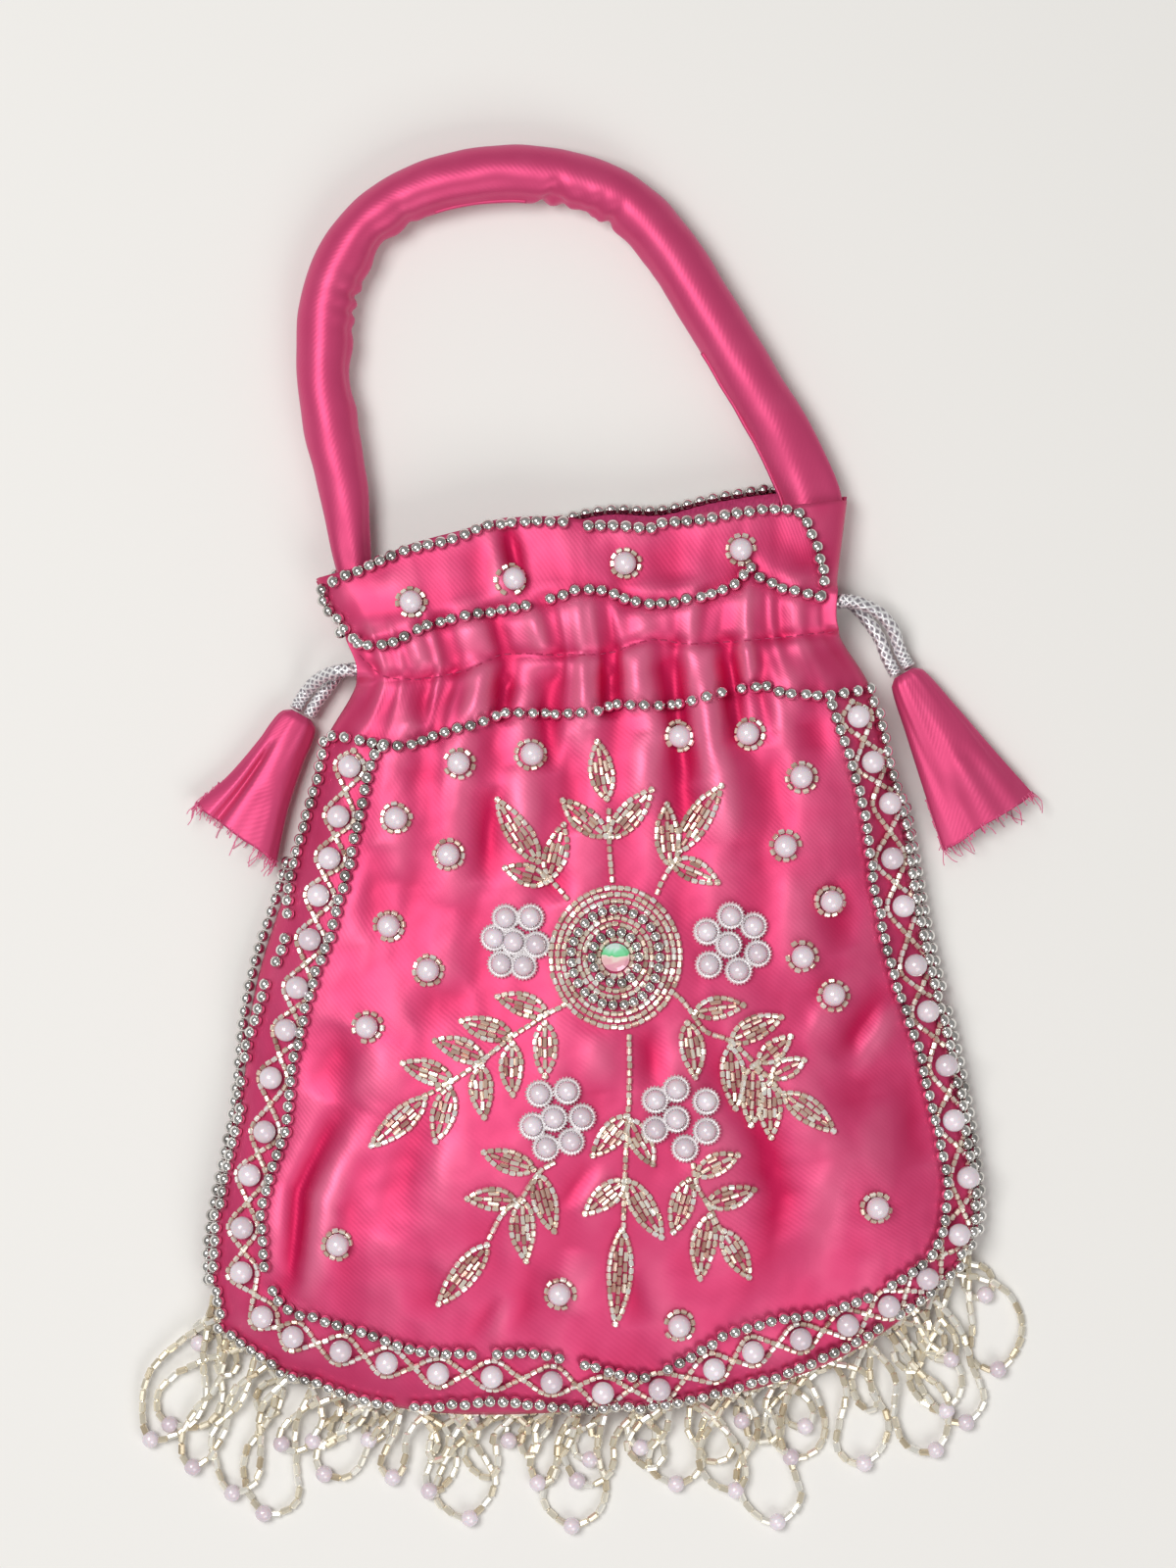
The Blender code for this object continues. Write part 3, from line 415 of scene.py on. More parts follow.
def tube(path, around, rows, radius, size):
    # a closed tube along a path; radius(angle, share) gives its half width and half height
    points = curveThrough(path, rows + 1)
    along = headings(points)

    def place(s, t):
        k = min(int(round(t * rows)), rows)
        angle = math.tau * s
        side, up = crossAxes(along[k])
        wide, tall = radius(angle, t)
        return points[k] + side * math.cos(angle) * wide + up * math.sin(angle) * tall

    bm = wrapGrid(around, rows, place, size, closed=True)
    ends = [edge for edge in bm.edges if edge.is_boundary]
    bmesh.ops.holes_fill(bm, edges=ends, sides=around)
    bmesh.ops.recalc_face_normals(bm, faces=bm.faces)
    return bm


# The drawstrings


cordFacts = dict(diameter=3.4, around=16, perMm=3.2, strands=4, lay=2.9, relief=0.15)
# Each route starts in the casing, 15 mm inside the side seam, and ends in the tassel; in mm
cordRoutes = {
    "right_cord_front": ((46.7, 114.7, 14.4), (61.6, 116.2, 14.4), (63.5, 116.7, 14.8), (67.1, 116.3, 14.0),
                         (72.6, 114.0, 11.2), (76.5, 110.0, 8.1), (78.6, 104.8, 5.3), (80.2, 101.6, 4.5),
                         (81.2, 100.0, 4.9)),
    "right_cord_back": ((46.7, 114.7, 3.2), (61.6, 116.2, 3.2), (63.7, 116.9, 3.1), (66.8, 116.0, 3.2),
                        (70.7, 111.8, 3.7), (73.6, 107.3, 4.3), (75.3, 102.8, 4.8), (76.8, 99.8, 4.9),
                        (77.8, 98.1, 4.9)),
    "left_cord_front": ((-45.4, 100.8, 14.4), (-60.3, 99.3, 14.4), (-62.5, 99.1, 14.8), (-65.4, 98.7, 14.0),
                        (-68.5, 97.7, 11.2), (-71.2, 96.0, 8.1), (-73.5, 93.7, 5.3), (-75.2, 91.3, 4.5),
                        (-76.2, 89.3, 4.9)),
    "left_cord_back": ((-45.4, 100.8, 3.2), (-60.3, 99.3, 3.2), (-62.7, 99.3, 3.1), (-65.2, 98.4, 3.2),
                       (-67.1, 96.1, 3.7), (-68.8, 93.8, 4.3), (-70.3, 91.8, 4.8), (-71.8, 89.4, 4.9),
                       (-72.8, 87.4, 4.9)),
}
cordFarEnds = {"right_cord_front": (-45.5, 105.5, 14.4), "right_cord_back": (-45.5, 105.5, 3.2),
               "left_cord_front": (46.8, 109.9, 14.4), "left_cord_back": (46.8, 109.9, 3.2)}
cordTurns = {
    "right_cord_turn": ((-45.8, 105.5, 14.4), (-46.8, 105.4, 14.4), (-49.6, 105.1, 13.7), (-51.7, 104.9, 11.6),
                        (-52.4, 104.8, 8.8), (-51.7, 104.9, 6.0), (-49.6, 105.1, 3.9), (-46.8, 105.4, 3.2),
                        (-45.8, 105.5, 3.2)),
    "left_cord_turn": ((47.1, 109.9, 14.4), (48.1, 110.0, 14.4), (50.9, 110.3, 13.7), (52.9, 110.5, 11.6),
                       (53.7, 110.6, 8.8), (52.9, 110.5, 6.0), (50.9, 110.3, 3.9), (48.1, 110.0, 3.2),
                       (47.1, 109.9, 3.2)),
}


def makeCord(name, route, body, replaces):
    # a round braid: strands wind both ways round the core
    path = [Vector(p) for p in route]
    length = pathLength(path)
    half = cordFacts["diameter"] / 2
    rows = max(24, int(length * cordFacts["perMm"]))
    strands, relief = cordFacts["strands"], cordFacts["relief"]

    def radius(angle, t):
        turn = math.tau * t * length / cordFacts["lay"] / 2
        over = max(math.cos(strands * angle / 2 + turn), math.cos(strands * angle / 2 - turn))
        size = half * (1 - relief + relief * abs(over))
        return size, size

    bm = tube(path, cordFacts["around"], rows, radius, (math.pi * half * 2, length))
    return addPiece(name, bm, braid, body, replaces)


def makeCords():
    made = {}
    for name, route in cordRoutes.items():
        body = name.split("_")[0] + "_drawstring"
        strand = makeCord(name + "Strand", route, body, (name,))
        start = Vector(route[0])
        far = Vector(cordFarEnds[name])
        makeCord(name + "Run", [far, far.lerp(start, 0.5), start + (far - start).normalized() * 0.2], body, (name,))
        made[name] = strand
    for name, route in cordTurns.items():
        makeCord(name + "Bend", route, "bag", (name,))
    return made


cords = makeCords()
print("cords made")


# The pouch's shape


def spot(u, v):
    # a place on the lying pouch: u from side to side, v from the bottom seam to the rim
    half, rise = read(stations, v, 2), max(read(stations, v, 4), 0.0)
    tilt = math.radians(read(stations, v, 3))
    across, up = u * half, rise * abs(u) ** 3
    return Vector((read(stations, v, 5) + across * math.cos(tilt) - up * math.sin(tilt),
                   read(stations, v, 1) + across * math.sin(tilt) + up * math.cos(tilt)))


def seamHeight(v):
    middle = read(depths, v, 1) / 2
    return seamHeightLow + (middle - seamHeightLow) * ease(v, 0.6, 0.87)


def fullness(u, v):
    # 1 over most of the bag, 0 at its seams
    power = 2.4 + 9.6 * ease(v, 0.5, 0.87)
    sides = math.sqrt(max(0.0, 1 - abs(u) ** power))
    sides += (1 - sides) * (ease(v, 0.860, 0.873) - ease(v, 0.919, 0.932))
    bottom = math.sqrt(max(0.0, 1 - (1 - min(1.0, v / 0.28)) ** 2))
    return sides * bottom


def gathers(u, v):
    fade = ease(v, 0.42, 0.84) * (1 - 0.8 * ease(v, 0.915, 0.95)) * (1 - ease(abs(u), 0.84, 0.95))
    waves = 0.62 * math.cos(math.pi * gatherCount * (u + 0.05 * v))
    waves += 0.38 * math.cos(math.pi * gatherCount * 0.61 * u + 1.3)
    return gatherDepth * fade * (0.5 + 0.5 * waves)


rowTwoPixels = (
    352, 655, 375, 659, 403, 656, 434, 639, 472, 630, 514, 623, 541, 618, 560, 613, 591, 604, 625, 606, 644, 614,
    663, 617, 690, 615, 721, 608, 753, 595, 765, 580, 774, 589, 801, 602, 836, 610)
stitchPixels = (
    369, 671, 392, 690, 426, 693, 472, 685, 514, 668, 568, 668, 618, 667, 663, 653, 702, 657, 748, 655, 800, 650,
    848, 645)
yokePixels = (
    342, 752, 376, 757, 411, 761, 442, 752, 472, 742, 514, 729, 568, 729, 606, 725, 637, 718, 683, 720, 732, 708,
    751, 704, 782, 700, 801, 708, 839, 710, 885, 704)


# Folds of the front as the picture shows them: their course in pixels, then half width and height in mm
foldLines = (
    (352, 1125, 329, 1168, 307, 1212, 303, 1262, 299, 1300, 282, 1332, 3.2, -1.5),
    (384, 1120, 352, 1180, 333, 1226, 326, 1280, 310, 1325, 4.5, 1.2), (358, 1046, 330, 1120, 6.0, -0.9),
    (398, 1060, 370, 1130, 8.0, 0.7), (480, 1365, 510, 1318, 2.5, -0.4), (500, 1366, 524, 1315, 2.5, 0.3),
    (570, 1232, 602, 1182, 2.5, -0.4), (586, 1238, 620, 1188, 2.5, 0.3), (850, 1082, 905, 1000, 3.5, -0.8),
    (868, 1096, 918, 1018, 3.5, 0.7), (820, 1065, 870, 985, 3.0, 0.5),
    (700, 1040, 737, 1095, 778, 1160, 791, 1215, 776, 1280, 746, 1345, 5.5, -1.2),
    (770, 1060, 826, 1120, 852, 1180, 846, 1240, 824, 1335, 7.0, 1.0), (660, 1045, 668, 1110, 3.5, -0.7),
    (606, 1048, 612, 1110, 4.0, 0.6), (460, 1150, 420, 1290, 6.0, 0.5), (438, 1130, 385, 1260, 5.0, -0.5),
    (548, 1270, 526, 1360, 4.0, -0.4), (590, 1270, 580, 1340, 4.0, 0.6), (640, 1290, 652, 1350, 3.5, -0.6),
    (500, 800, 495, 900, 5.0, -1.0), (530, 780, 540, 870, 5.0, 0.9), (585, 750, 590, 850, 4.0, -0.9),
    (655, 745, 650, 830, 4.5, 1.0), (690, 750, 700, 850, 5.0, -1.1), (735, 760, 745, 860, 5.0, 0.9),
    (785, 745, 800, 860, 5.0, -1.0), (835, 760, 850, 900, 6.0, 0.9), (430, 790, 415, 900, 6.0, 0.9),
    (390, 860, 378, 960, 4.0, -0.8), (470, 930, 450, 1010, 7.0, 0.6), (845, 900, 862, 970, 5.0, -0.8),
    (800, 880, 815, 1010, 6.0, 0.6), (480, 1010, 420, 1040, 5.0, -0.6), (560, 880, 575, 920, 4.0, -0.7),
    (880, 1120, 900, 1230, 7.0, 0.7), (920, 1080, 935, 1190, 5.0, -0.6), (455, 1290, 430, 1345, 5.0, -0.5),
    (514, 530, 535, 612, 2.6, -2.2), (504, 540, 515, 615, 3.0, 1.0), (620, 550, 655, 640, 4.0, -1.0),
    (500, 622, 520, 676, 2.0, -1.3), (540, 618, 556, 670, 2.2, 1.1), (436, 676, 424, 740, 3.0, -1.5),
    (492, 670, 486, 745, 3.5, 1.3), (520, 665, 512, 740, 2.6, -1.3), (555, 680, 560, 790, 3.5, -1.2),
    (592, 668, 600, 745, 3.0, 1.3), (622, 665, 620, 735, 2.4, -1.4), (648, 655, 650, 730, 3.0, 1.3),
    (676, 655, 702, 800, 3.4, -1.7), (712, 650, 726, 790, 3.4, 1.3), (742, 645, 752, 760, 2.6, -1.3),
    (758, 650, 764, 700, 2.2, 1.3), (768, 650, 784, 760, 2.6, -1.4), (800, 650, 822, 740, 3.4, 1.0),
)
folds = [(fromPixels(line[:-2]), *line[-2:]) for line in foldLines]
grooves = [(fromPixels(stitchPixels), 1.4, 0.7), (fromPixels(rowTwoPixels), 2.0, 1.0),
           (fromPixels(yokePixels), 2.2, 0.4)]
medallionPlace = fromPixels((628, 977))[0]


def awayFrom(point, a, b):
    # distance to a stretch, and how far along it that is
    line = b - a
    share = min(max((point - a).dot(line) / line.length_squared, 0.0), 1.0)
    return (point - (a + line * share)).length, share


def nearestPlace(point, line):
    # distance to a line of stretches, and the share of it at the nearest place
    near = [(*awayFrom(point, a, b), k) for k, (a, b) in enumerate(zip(line, line[1:]))]
    distance, share, k = min(near)
    return distance, (k + share) / len(near)


def creases(flat):
    total = 0.0
    for line, width, height in folds:
        distance, share = nearestPlace(flat, line)
        if distance < 3 * width:
            ends = max(math.sin(math.pi * share), 0.0) ** 0.8
            total += 1.6 * height * ends * bell(distance / width)
    return total


def pinches(flat):
    total = 0.0
    for line, width, depth in grooves:
        distance = nearestPlace(flat, line)[0]
        if distance < 3 * width:
            total -= depth * bell(distance / width)
    return total


def smallGathers(u, v, flat):
    # the narrow pleats that the drawn casing leaves, fading down the bag
    strength = (0.25 + 0.75 * ease(v, 0.76, 0.865)) * ease(v, 0.64, 0.80)
    strength *= (1 - 0.88 * ease(v, 0.922, 0.945)) * (1 - ease(abs(u), 0.9, 0.99))
    strength *= 0.45 + 0.9 * abs(ripple(flat.x * 0.06, 40.0, 4.0)) * 2
    warp = 2.6 * ripple(flat.x * 0.045, flat.y * 0.012, 3.0)
    first = 1 - 2 * abs(math.sin(math.pi * 8.5 * u + 2.5 * warp))
    second = math.cos(math.tau * 15 * u + 7 * warp + 1)
    return strength * (0.34 * first + 0.09 * second)


def clothDetail(u, v, flat):
    edge = 1 - ease(abs(u), 0.93, 1.0)
    stiff = 1 - 0.85 * math.exp(-(((flat - medallionPlace).length / 17) ** 6))
    soft = 1.9 * ripple(flat.x * 0.034, flat.y * 0.020, 1.0) + 0.7 * ripple(flat.x * 0.080, flat.y * 0.045, 5.0)
    soft += 0.14 * ripple(flat.x * 0.25, flat.y * 0.20, 8.0) + 0.03 * ripple(flat.x * 0.5, flat.y * 0.5, 9.0)
    band = 1.1 * ripple(flat.x * 0.075, flat.y * 0.09, 12.0) * ease(v, 0.92, 0.95)
    body = (soft + creases(flat)) * stiff * (1 - 0.35 * ease(v, 0.86, 0.95)) * ease(v, 0.0, 0.05)
    return edge * (body + band + smallGathers(u, v, flat) + pinches(flat) * ease(v, 0.6, 0.7))


def front(u, v):
    # a point of the front, and how far its folds lift it
    seam = seamHeight(v) + layerGap / 2
    z = seam + (read(depths, v, 1) - seam) * fullness(u, v)
    place = spot(u, v)
    flat = Vector((place.x, place.y + read(frontCrown, u, 1) * ease(v, 0.90, 1.0), 0.0))
    lift = gathers(u, v) + clothDetail(u, v, flat)
    channel = ease(v, 0.835, 0.86) * (1 - ease(v, 0.93, 0.95))
    stopped = casingDip * math.tanh((lift + 0.4) / casingDip) if lift < -0.4 else lift + 0.4
    lift = mix(lift, stopped, channel)
    return Vector((flat.x, flat.y, z + lift)), lift


def back(u, v):
    seam = seamHeight(v) - layerGap / 2
    z = seam * (1 - min(1.0, 1.3 * fullness(u, v)))
    place = spot(u, v)
    raised = read(backCrown, u, 1) * ease(v, 0.92, 1.0)
    wrinkle = 0.5 * (1 + ripple(place.x * 0.05, place.y * 0.03, 20.0)) * fullness(u, v) * (1 - ease(v, 0.9, 1.0))
    return Vector((place.x, place.y + raised, max(z, 0.1) + 0.5 * wrinkle))


def sideShare(s):
    # more columns near the side seams
    return 0.45 * (2 * s - 1) + 0.55 * math.sin(math.pi * (s - 0.5))


def paintFoldShading(bm, keys, lifts, reach, full):
    # notes on each vertex how far it lies above or below the cloth round it, from -1 to 1, for the satin's painted
    # shade in hollows and painted highlight on crests
    layer = bm.verts.layers.float.new("paintedFoldShading")
    for vert, (i, j) in zip(bm.verts, keys):
        near = [lifts[(i + di, j + dj)] for di in range(-reach, reach + 1, 2) for dj in range(-reach, reach + 1, 2)
                if (i + di, j + dj) in lifts]
        away = (lifts[(i, j)] - sum(near) / len(near)) / full
        vert[layer] = min(max(away, -1.0), 1.0)


clothFacts = dict(size=(200, 235), front=(196, 214), back=(90, 100), paintedShadingReach=7, paintedShadingFull=1.1)
liningFacts = dict(size=(170, 225), grid=(60, 80), wall=0.3, inset=4.4, channel=1.4, start=0.035)


def makeFront():
    columns, rows = clothFacts["front"]
    keys, lifts = [], {}

    def place(s, t):
        point, lift = front(sideShare(s), t)
        keys.append((round(s * columns), round(t * rows)))
        lifts[keys[-1]] = lift
        return point

    bm = wrapGrid(columns, rows, place, clothFacts["size"])
    # the fold heights become painted shade and painted highlight in the satin's colour
    paintFoldShading(bm, keys, lifts, clothFacts["paintedShadingReach"], clothFacts["paintedShadingFull"])
    upward(bm)
    tree = BVHTree.FromBMesh(bm)
    thicken(addPiece("frontSatin", bm, satin, replaces=("front_panel",)), satinWall)
    return tree


def makeBack():
    bm = wrapGrid(*clothFacts["back"], lambda s, t: back(sideShare(s), t), clothFacts["size"])
    upward(bm)
    bmesh.ops.reverse_faces(bm, faces=bm.faces)
    thicken(addPiece("backSatin", bm, satin, replaces=("back_panel",)), satinWall)


def makeLining(name, node, facing):
    # hangs free inside, and stands off the satin along the casing for the cords
    def place(s, t):
        v = mix(liningFacts["start"], 1.0, t)
        u = (2 * s - 1) * (0.95 - 0.20 * ease(v, 0.55, 0.82))
        inset = liningFacts["inset"] + liningFacts["channel"] * (ease(v, 0.856, 0.866) - ease(v, 0.926, 0.936))
        seam = seamHeight(v) + facing * layerGap / 2
        flat = spot(u, v)
        flat.y -= 0.6 * ease(v, 0.97, 1.0)
        crown = read(frontCrown if facing > 0 else backCrown, u, 1) * ease(v, 0.90, 1.0)
        full = fullness(u, v)
        outer = seam + (read(depths, v, 1) - seam) * full if facing > 0 else seam * (1 - min(1.0, 1.3 * full))
        closing = math.sqrt(max(0.0, 1 - abs(2 * s - 1) ** 14)) * ease(v, 0.034, 0.09)
        z = seam + (outer - facing * inset - seam) * closing
        z = max(z, seam) if facing > 0 else min(z, seam)
        return Vector((flat.x, flat.y + crown, z + 0.25 * ripple(flat.x * 0.08, flat.y * 0.04, 30.0) * closing))

    bm = wrapGrid(*liningFacts["grid"], place, liningFacts["size"])
    upward(bm)
    if facing < 0:
        bmesh.ops.reverse_faces(bm, faces=bm.faces)
    thicken(addPiece(name, bm, lining, replaces=(node,)), liningFacts["wall"])


cloth = makeFront()
makeBack()
makeLining("frontLining", "front_lining", 1)
makeLining("backLining", "back_lining", -1)
print("pouch made")


def onCloth(place, height):
    # the point that stands a height off the front, and the cloth's direction there; high places look
    # farther out in the picture than they are, so they are drawn back towards its centre
    hit = cloth.ray_cast(Vector((place.x, place.y, 60.0)), Vector((0, 0, -1)))[0]
    if hit is not None:
        drawnBack = (hit.z + height - pictureFloor) / cameraReach
        place = Vector((place.x - (place.x - pictureCentre[0]) * drawnBack,
                        place.y - (place.y - pictureCentre[1]) * drawnBack, 0.0))
    hit, normal = cloth.ray_cast(Vector((place.x, place.y, 60.0)), Vector((0, 0, -1)))[:2]
    if hit is None:
        hit, normal = cloth.find_nearest(Vector((place.x, place.y, 10.0)))[:2]
    if normal.z < 0:
        normal = -normal
    normal = (normal + Vector((0, 0, 0.8))).normalized()
    return hit + normal * height, normal


# The handle


def handlePath():
    left, right = spot(-0.850, 0.955), spot(0.865, 0.955)
    leftTop, rightTop = spot(-0.855, 1.0), spot(0.870, 1.0)
    inside = seamHeight(1.0)
    arch = ((-63.8, 145.0), (-67.2, 162.5), (-68.7, 180.0), (-67.2, 195.0), (-61.7, 208.0), (-52.5, 217.5),
            (-41.2, 223.0), (-26.2, 226.0), (-11.2, 225.5), (2.5, 221.7), (12.5, 215.0), (21.2, 204.5),
            (30.0, 190.5), (40.0, 173.7), (49.0, 158.5))
    points = [Vector((*left, inside)), Vector((*leftTop, inside))]
    points += [Vector((x, y, 7.6)) for x, y in arch]
    return points + [Vector((*rightTop, inside)), Vector((*right, inside))]


# Share of the handle's length, width and depth in mm
handleSizes = ((0.0, 8.4, 6.4), (0.055, 8.8, 6.8), (0.11, 12.6, 11.0), (0.18, 14.4, 13.6), (0.30, 14.6, 14.2),
               (0.40, 13.6, 13.6), (0.52, 14.8, 14.4), (0.70, 14.6, 14.2), (0.84, 14.8, 13.2), (0.93, 15.6, 8.8),
               (1.0, 15.6, 6.4))


def handleHalves(t, inset=0.0):
    return [read(handleSizes, round(t, 5), column) / 2 - inset for column in (1, 2)]


def makeHandle():
    # creases run across the inner side: where, how deep and how slanted
    facts = dict(around=44, rows=340, seam=0.5, pucker=1.25, rolled=((0.44, 0.545), (0.80, 0.955)), wall=2.4, edge=0.55,
                 creases=((0.553, 1.7, 0.010), (0.574, 1.4, -0.006), (0.604, 1.0, 0.008), (0.636, 0.9, 0.004),
                          (0.965, 0.8, 0.0), (0.045, 1.2, 0.012)), creaseReach=0.0070)
    path = handlePath()
    length = pathLength(path)

    def radius(angle, t):
        # the tube is turned inside out and stuffed, so its seam draws in the inner side
        wide, tall = handleHalves(t)
        turned = (angle + math.pi) % math.tau - math.pi
        inner = bell(turned / 1.05)
        bend = ease(t, 0.14, 0.24) * (1 - ease(t, 0.60, 0.68))
        wave = math.cos(math.tau * t * length / 9.6 + 11 * ripple(t * 11, 0.0, 2.0))
        uneven = (0.35 + 1.5 * abs(ripple(t * 13, 7.0, 5.0)) * 2) * (1 - ease(t, 0.39, 0.43) + ease(t, 0.54, 0.57))
        pucker = facts["pucker"] * inner * (0.08 + 0.92 * bend) * (0.5 - 0.5 * wave) ** 1.3 * uneven
        groove = facts["seam"] * bell((turned - 0.5) / 0.16) * (0.4 + 0.6 * bend)
        crease = 0.0
        for at, deep, slant in facts["creases"]:
            crease += deep * bell((t - at - slant * turned) / facts["creaseReach"]) * inner
        soft = 0.30 * ripple(t * length * 0.12, math.cos(angle) * 0.9, math.sin(angle) * 0.9)
        legs = ease(t, 0.84, 0.98) + 1 - ease(t, 0.03, 0.14)
        flute = 0.30 * legs * math.cos(5 * angle + 6 * t)
        less = pucker + groove + crease - soft - flute
        return max(wide - less, 1.0), max(tall - less * 0.8, 1.0)

    bm = tube(path, facts["around"], facts["rows"], radius, (math.pi * 14.6, length))
    cover = addPiece("handleCover", bm, handleSatin, replaces=("handle_cover",))

    # the turned-in seam shows as a thin rolled edge on two stretches of the inner side
    steps = facts["rows"]
    line = curveThrough(path, steps + 1)
    sides = [crossAxes(d)[0] for d in headings(line)]
    for k, (low, high) in enumerate(facts["rolled"]):
        edge = []
        for i in range(int(low * steps), int(high * steps), 3):
            wide = handleHalves(i / steps)[0]
            edge.append(line[i] + sides[i] * (wide - 0.35 + 0.35 * ripple(i * 0.11, 3.0, k)) + Vector((0, 0, 1.4)))
        rolled = tube(edge, 8, len(edge) * 3, lambda angle, t: (facts["edge"],) * 2, (3.4, pathLength(edge)))
        addPiece(f"handleSeam{k + 1}", rolled, handleSatin)

    def fill(angle, t):
        wide, tall = handleHalves(t, facts["wall"])
        bump = 0.2 * ripple(t * length * 0.3, math.cos(angle), math.sin(angle))
        return max(wide + bump, 0.5), max(tall + bump, 0.5)

    inner = curveThrough(path, 60)[2:-2]
    addPiece("handleWadding", tube(inner, 14, 80, fill, (math.pi * 12, length)), wadding,
             replaces=("handle_filling",))


makeHandle()
print("handle made")


def template(name, bm):
    # a shape to repeat; bevels leave corners and faces in any order, so they are put in a fixed one
    bmesh.ops.recalc_face_normals(bm, faces=bm.faces)
    across = Vector((1.0, 1.618, 2.718))
    bm.verts.sort(key=lambda v: v.co.dot(across))
    bm.faces.sort(key=lambda f: f.calc_center_median().dot(across))
    mesh = bpy.data.meshes.new(name)
    bm.to_mesh(mesh)
    bm.free()
    return mesh


# The tassels


def frayedThreads(name, places, spread, heading, body):
    # loose yarns that hang from a cut hem, one in four of them long
    bm = bmesh.new()
    low = 0.35
    for place in places:
        length = rng.uniform(1.8, 5.5) if rng.random() < 0.25 else rng.uniform(0.8, 2.0)
        way = (heading + spread * rng.gauss(0, 0.3) + Vector((0, 0, rng.uniform(-0.15, 0.15)))).normalized()
        bend = Vector((rng.uniform(-1, 1), rng.uniform(-1, 1), 0)) * length * 0.22
        tip = place + way * length
        tip.z = max(tip.z, low)
        middle = place.lerp(tip, 0.5) + bend
        middle.z = max(middle.z, low)
        yarn = tube([place - way * 0.8, middle, tip], 3, 4, lambda angle, t: (0.15, 0.15), (1, length))
        strand = template("strand", yarn)
        bm.from_mesh(strand)
        bpy.data.meshes.remove(strand)
    addPiece(name, bm, pinkThread, body)


def makeTassel(name, node, settings, body):
    # a flat cone of satin, drawn shut round the cords, with a frayed hem
    level = 4.85
    top, hem = Vector((*settings["top"], level)), Vector((*settings["hem"], level))
    heading = (hem - top).normalized()
    side, up = crossAxes(heading)
    length = (hem - top).length

    def place(s, t):
        angle = math.tau * s
        wide, tall = (read(settings[key], round(t, 5), 1) / 2 for key in ("widths", "depths"))
        dent = 0.0
        for at, reach, deep, start in settings["creases"]:
            off = (angle - at + math.pi) % math.tau - math.pi
            dent += deep * bell(off / reach) * ease(t, start, start + 0.25)
        lobe = settings["lobe"] * ease(t, 0.1, 0.8) * math.cos(settings["lobes"] * angle + settings["turn"])
        fine = 0.18 * ripple(4.0 * math.cos(angle), 4.0 * math.sin(angle), t * 1.5 + settings["turn"])
        pleat = 0.09 * (1 - ease(t, 0.12, 0.45)) * math.cos(9 * angle)
        hemLine = settings["slant"] * math.cos(angle) * t**3 + 0.7 * ripple(angle * 1.7, 4.0, settings["turn"]) * t**4
        point = top + heading * (length * t + hemLine)
        point += side * math.cos(angle) * (wide + fine) * (1 + 0.04 * lobe)
        point += up * math.sin(angle) * max(tall * (1 + 0.30 * lobe) + pleat + fine - dent, 0.5)
        point.z = max(point.z, 0.35)
        return point

    bm = wrapGrid(96, 56, place, (60, length), closed=True)
    hemPlaces = [v.co.copy() for v in bm.verts if v.is_boundary and (v.co - top).dot(heading) > length * 0.7]
    necks = [e for e in bm.edges if e.is_boundary and (e.verts[0].co - top).dot(heading) < length * 0.3]
    bmesh.ops.holes_fill(bm, edges=necks, sides=96)
    bmesh.ops.recalc_face_normals(bm, faces=bm.faces)
    piece = thicken(addPiece(name, bm, handleSatin, body, (node,)), 0.35)
    picked = [rng.choice(hemPlaces) for _ in range(settings["threads"])]
    frayedThreads(name + "Threads", picked, side, heading, body)
    return piece


rightTassel = makeTassel("rightTassel", "right_tassel", dict(
    top=(79.8, 98.5), hem=(101.9, 60.2), lobe=0.8, lobes=3, turn=0.6, slant=0.6, threads=90,
    creases=((1.9, 0.22, 0.8, 0.45), (1.15, 0.2, 0.5, 0.6)),
    widths=((0, 5.6), (0.04, 9.4), (0.3, 14.5), (0.65, 20.8), (1.0, 27.2)),
    depths=((0, 4.4), (0.05, 6.2), (0.4, 7.0), (1.0, 7.6))), "right_drawstring")
leftTassel = makeTassel("leftTassel", "left_tassel", dict(
    top=(-74.8, 87.8), hem=(-91.6, 57.2), lobe=0.7, lobes=2, turn=2.2, slant=-1.5, threads=110,
    creases=((1.08, 0.12, 2.4, 0.22), (1.8, 0.3, 0.7, 0.5)),
    widths=((0, 5.6), (0.04, 9.6), (0.15, 11.8), (0.3, 13.0), (0.65, 18.0), (1.0, 26.0)),
    depths=((0, 4.4), (0.05, 6.2), (0.4, 7.4), (1.0, 8.0))), "left_drawstring")
print("tassels made")


# Bead templates, their thread along z


def ballTemplate(name, radius, around, rows, hole):
    # a ball, with its poles sunk where the thread goes in
    bm = bmesh.new()
    bmesh.ops.create_uvsphere(bm, u_segments=around, v_segments=rows, radius=radius)
    for vert in bm.verts:
        if abs(vert.co.z) > radius * 0.98:
            vert.co.z *= 1 - hole
    return template(name, bm)


def tubeTemplate(name, radius, length, sides=6):
    # a cut glass tube with its edges broken
    bm = bmesh.new()
    bmesh.ops.create_cone(bm, cap_ends=True, segments=sides, radius1=radius, radius2=radius, depth=length)
    rims = [e for e in bm.edges if abs(e.verts[0].co.z - e.verts[1].co.z) < 1e-5]
    bmesh.ops.bevel(bm, geom=rims, offset=radius * 0.3, segments=1, affect="EDGES", profile=0.5, material=-1)
    return template(name, bm)


def coilTemplate(name, radius, thick, turns):
    # a ring of springy metal coil
    def place(s, t):
        size = thick * (1.0 if round(t * turns * 2) % 2 else 0.4)
        out = Vector((math.cos(math.tau * t), math.sin(math.tau * t), 0))
        return out * (radius + math.cos(math.tau * s) * size) + Vector((0, 0, math.sin(math.tau * s) * size))

    return template(name, wrapGrid(5, turns * 2, place, (1, 1), closed=True))


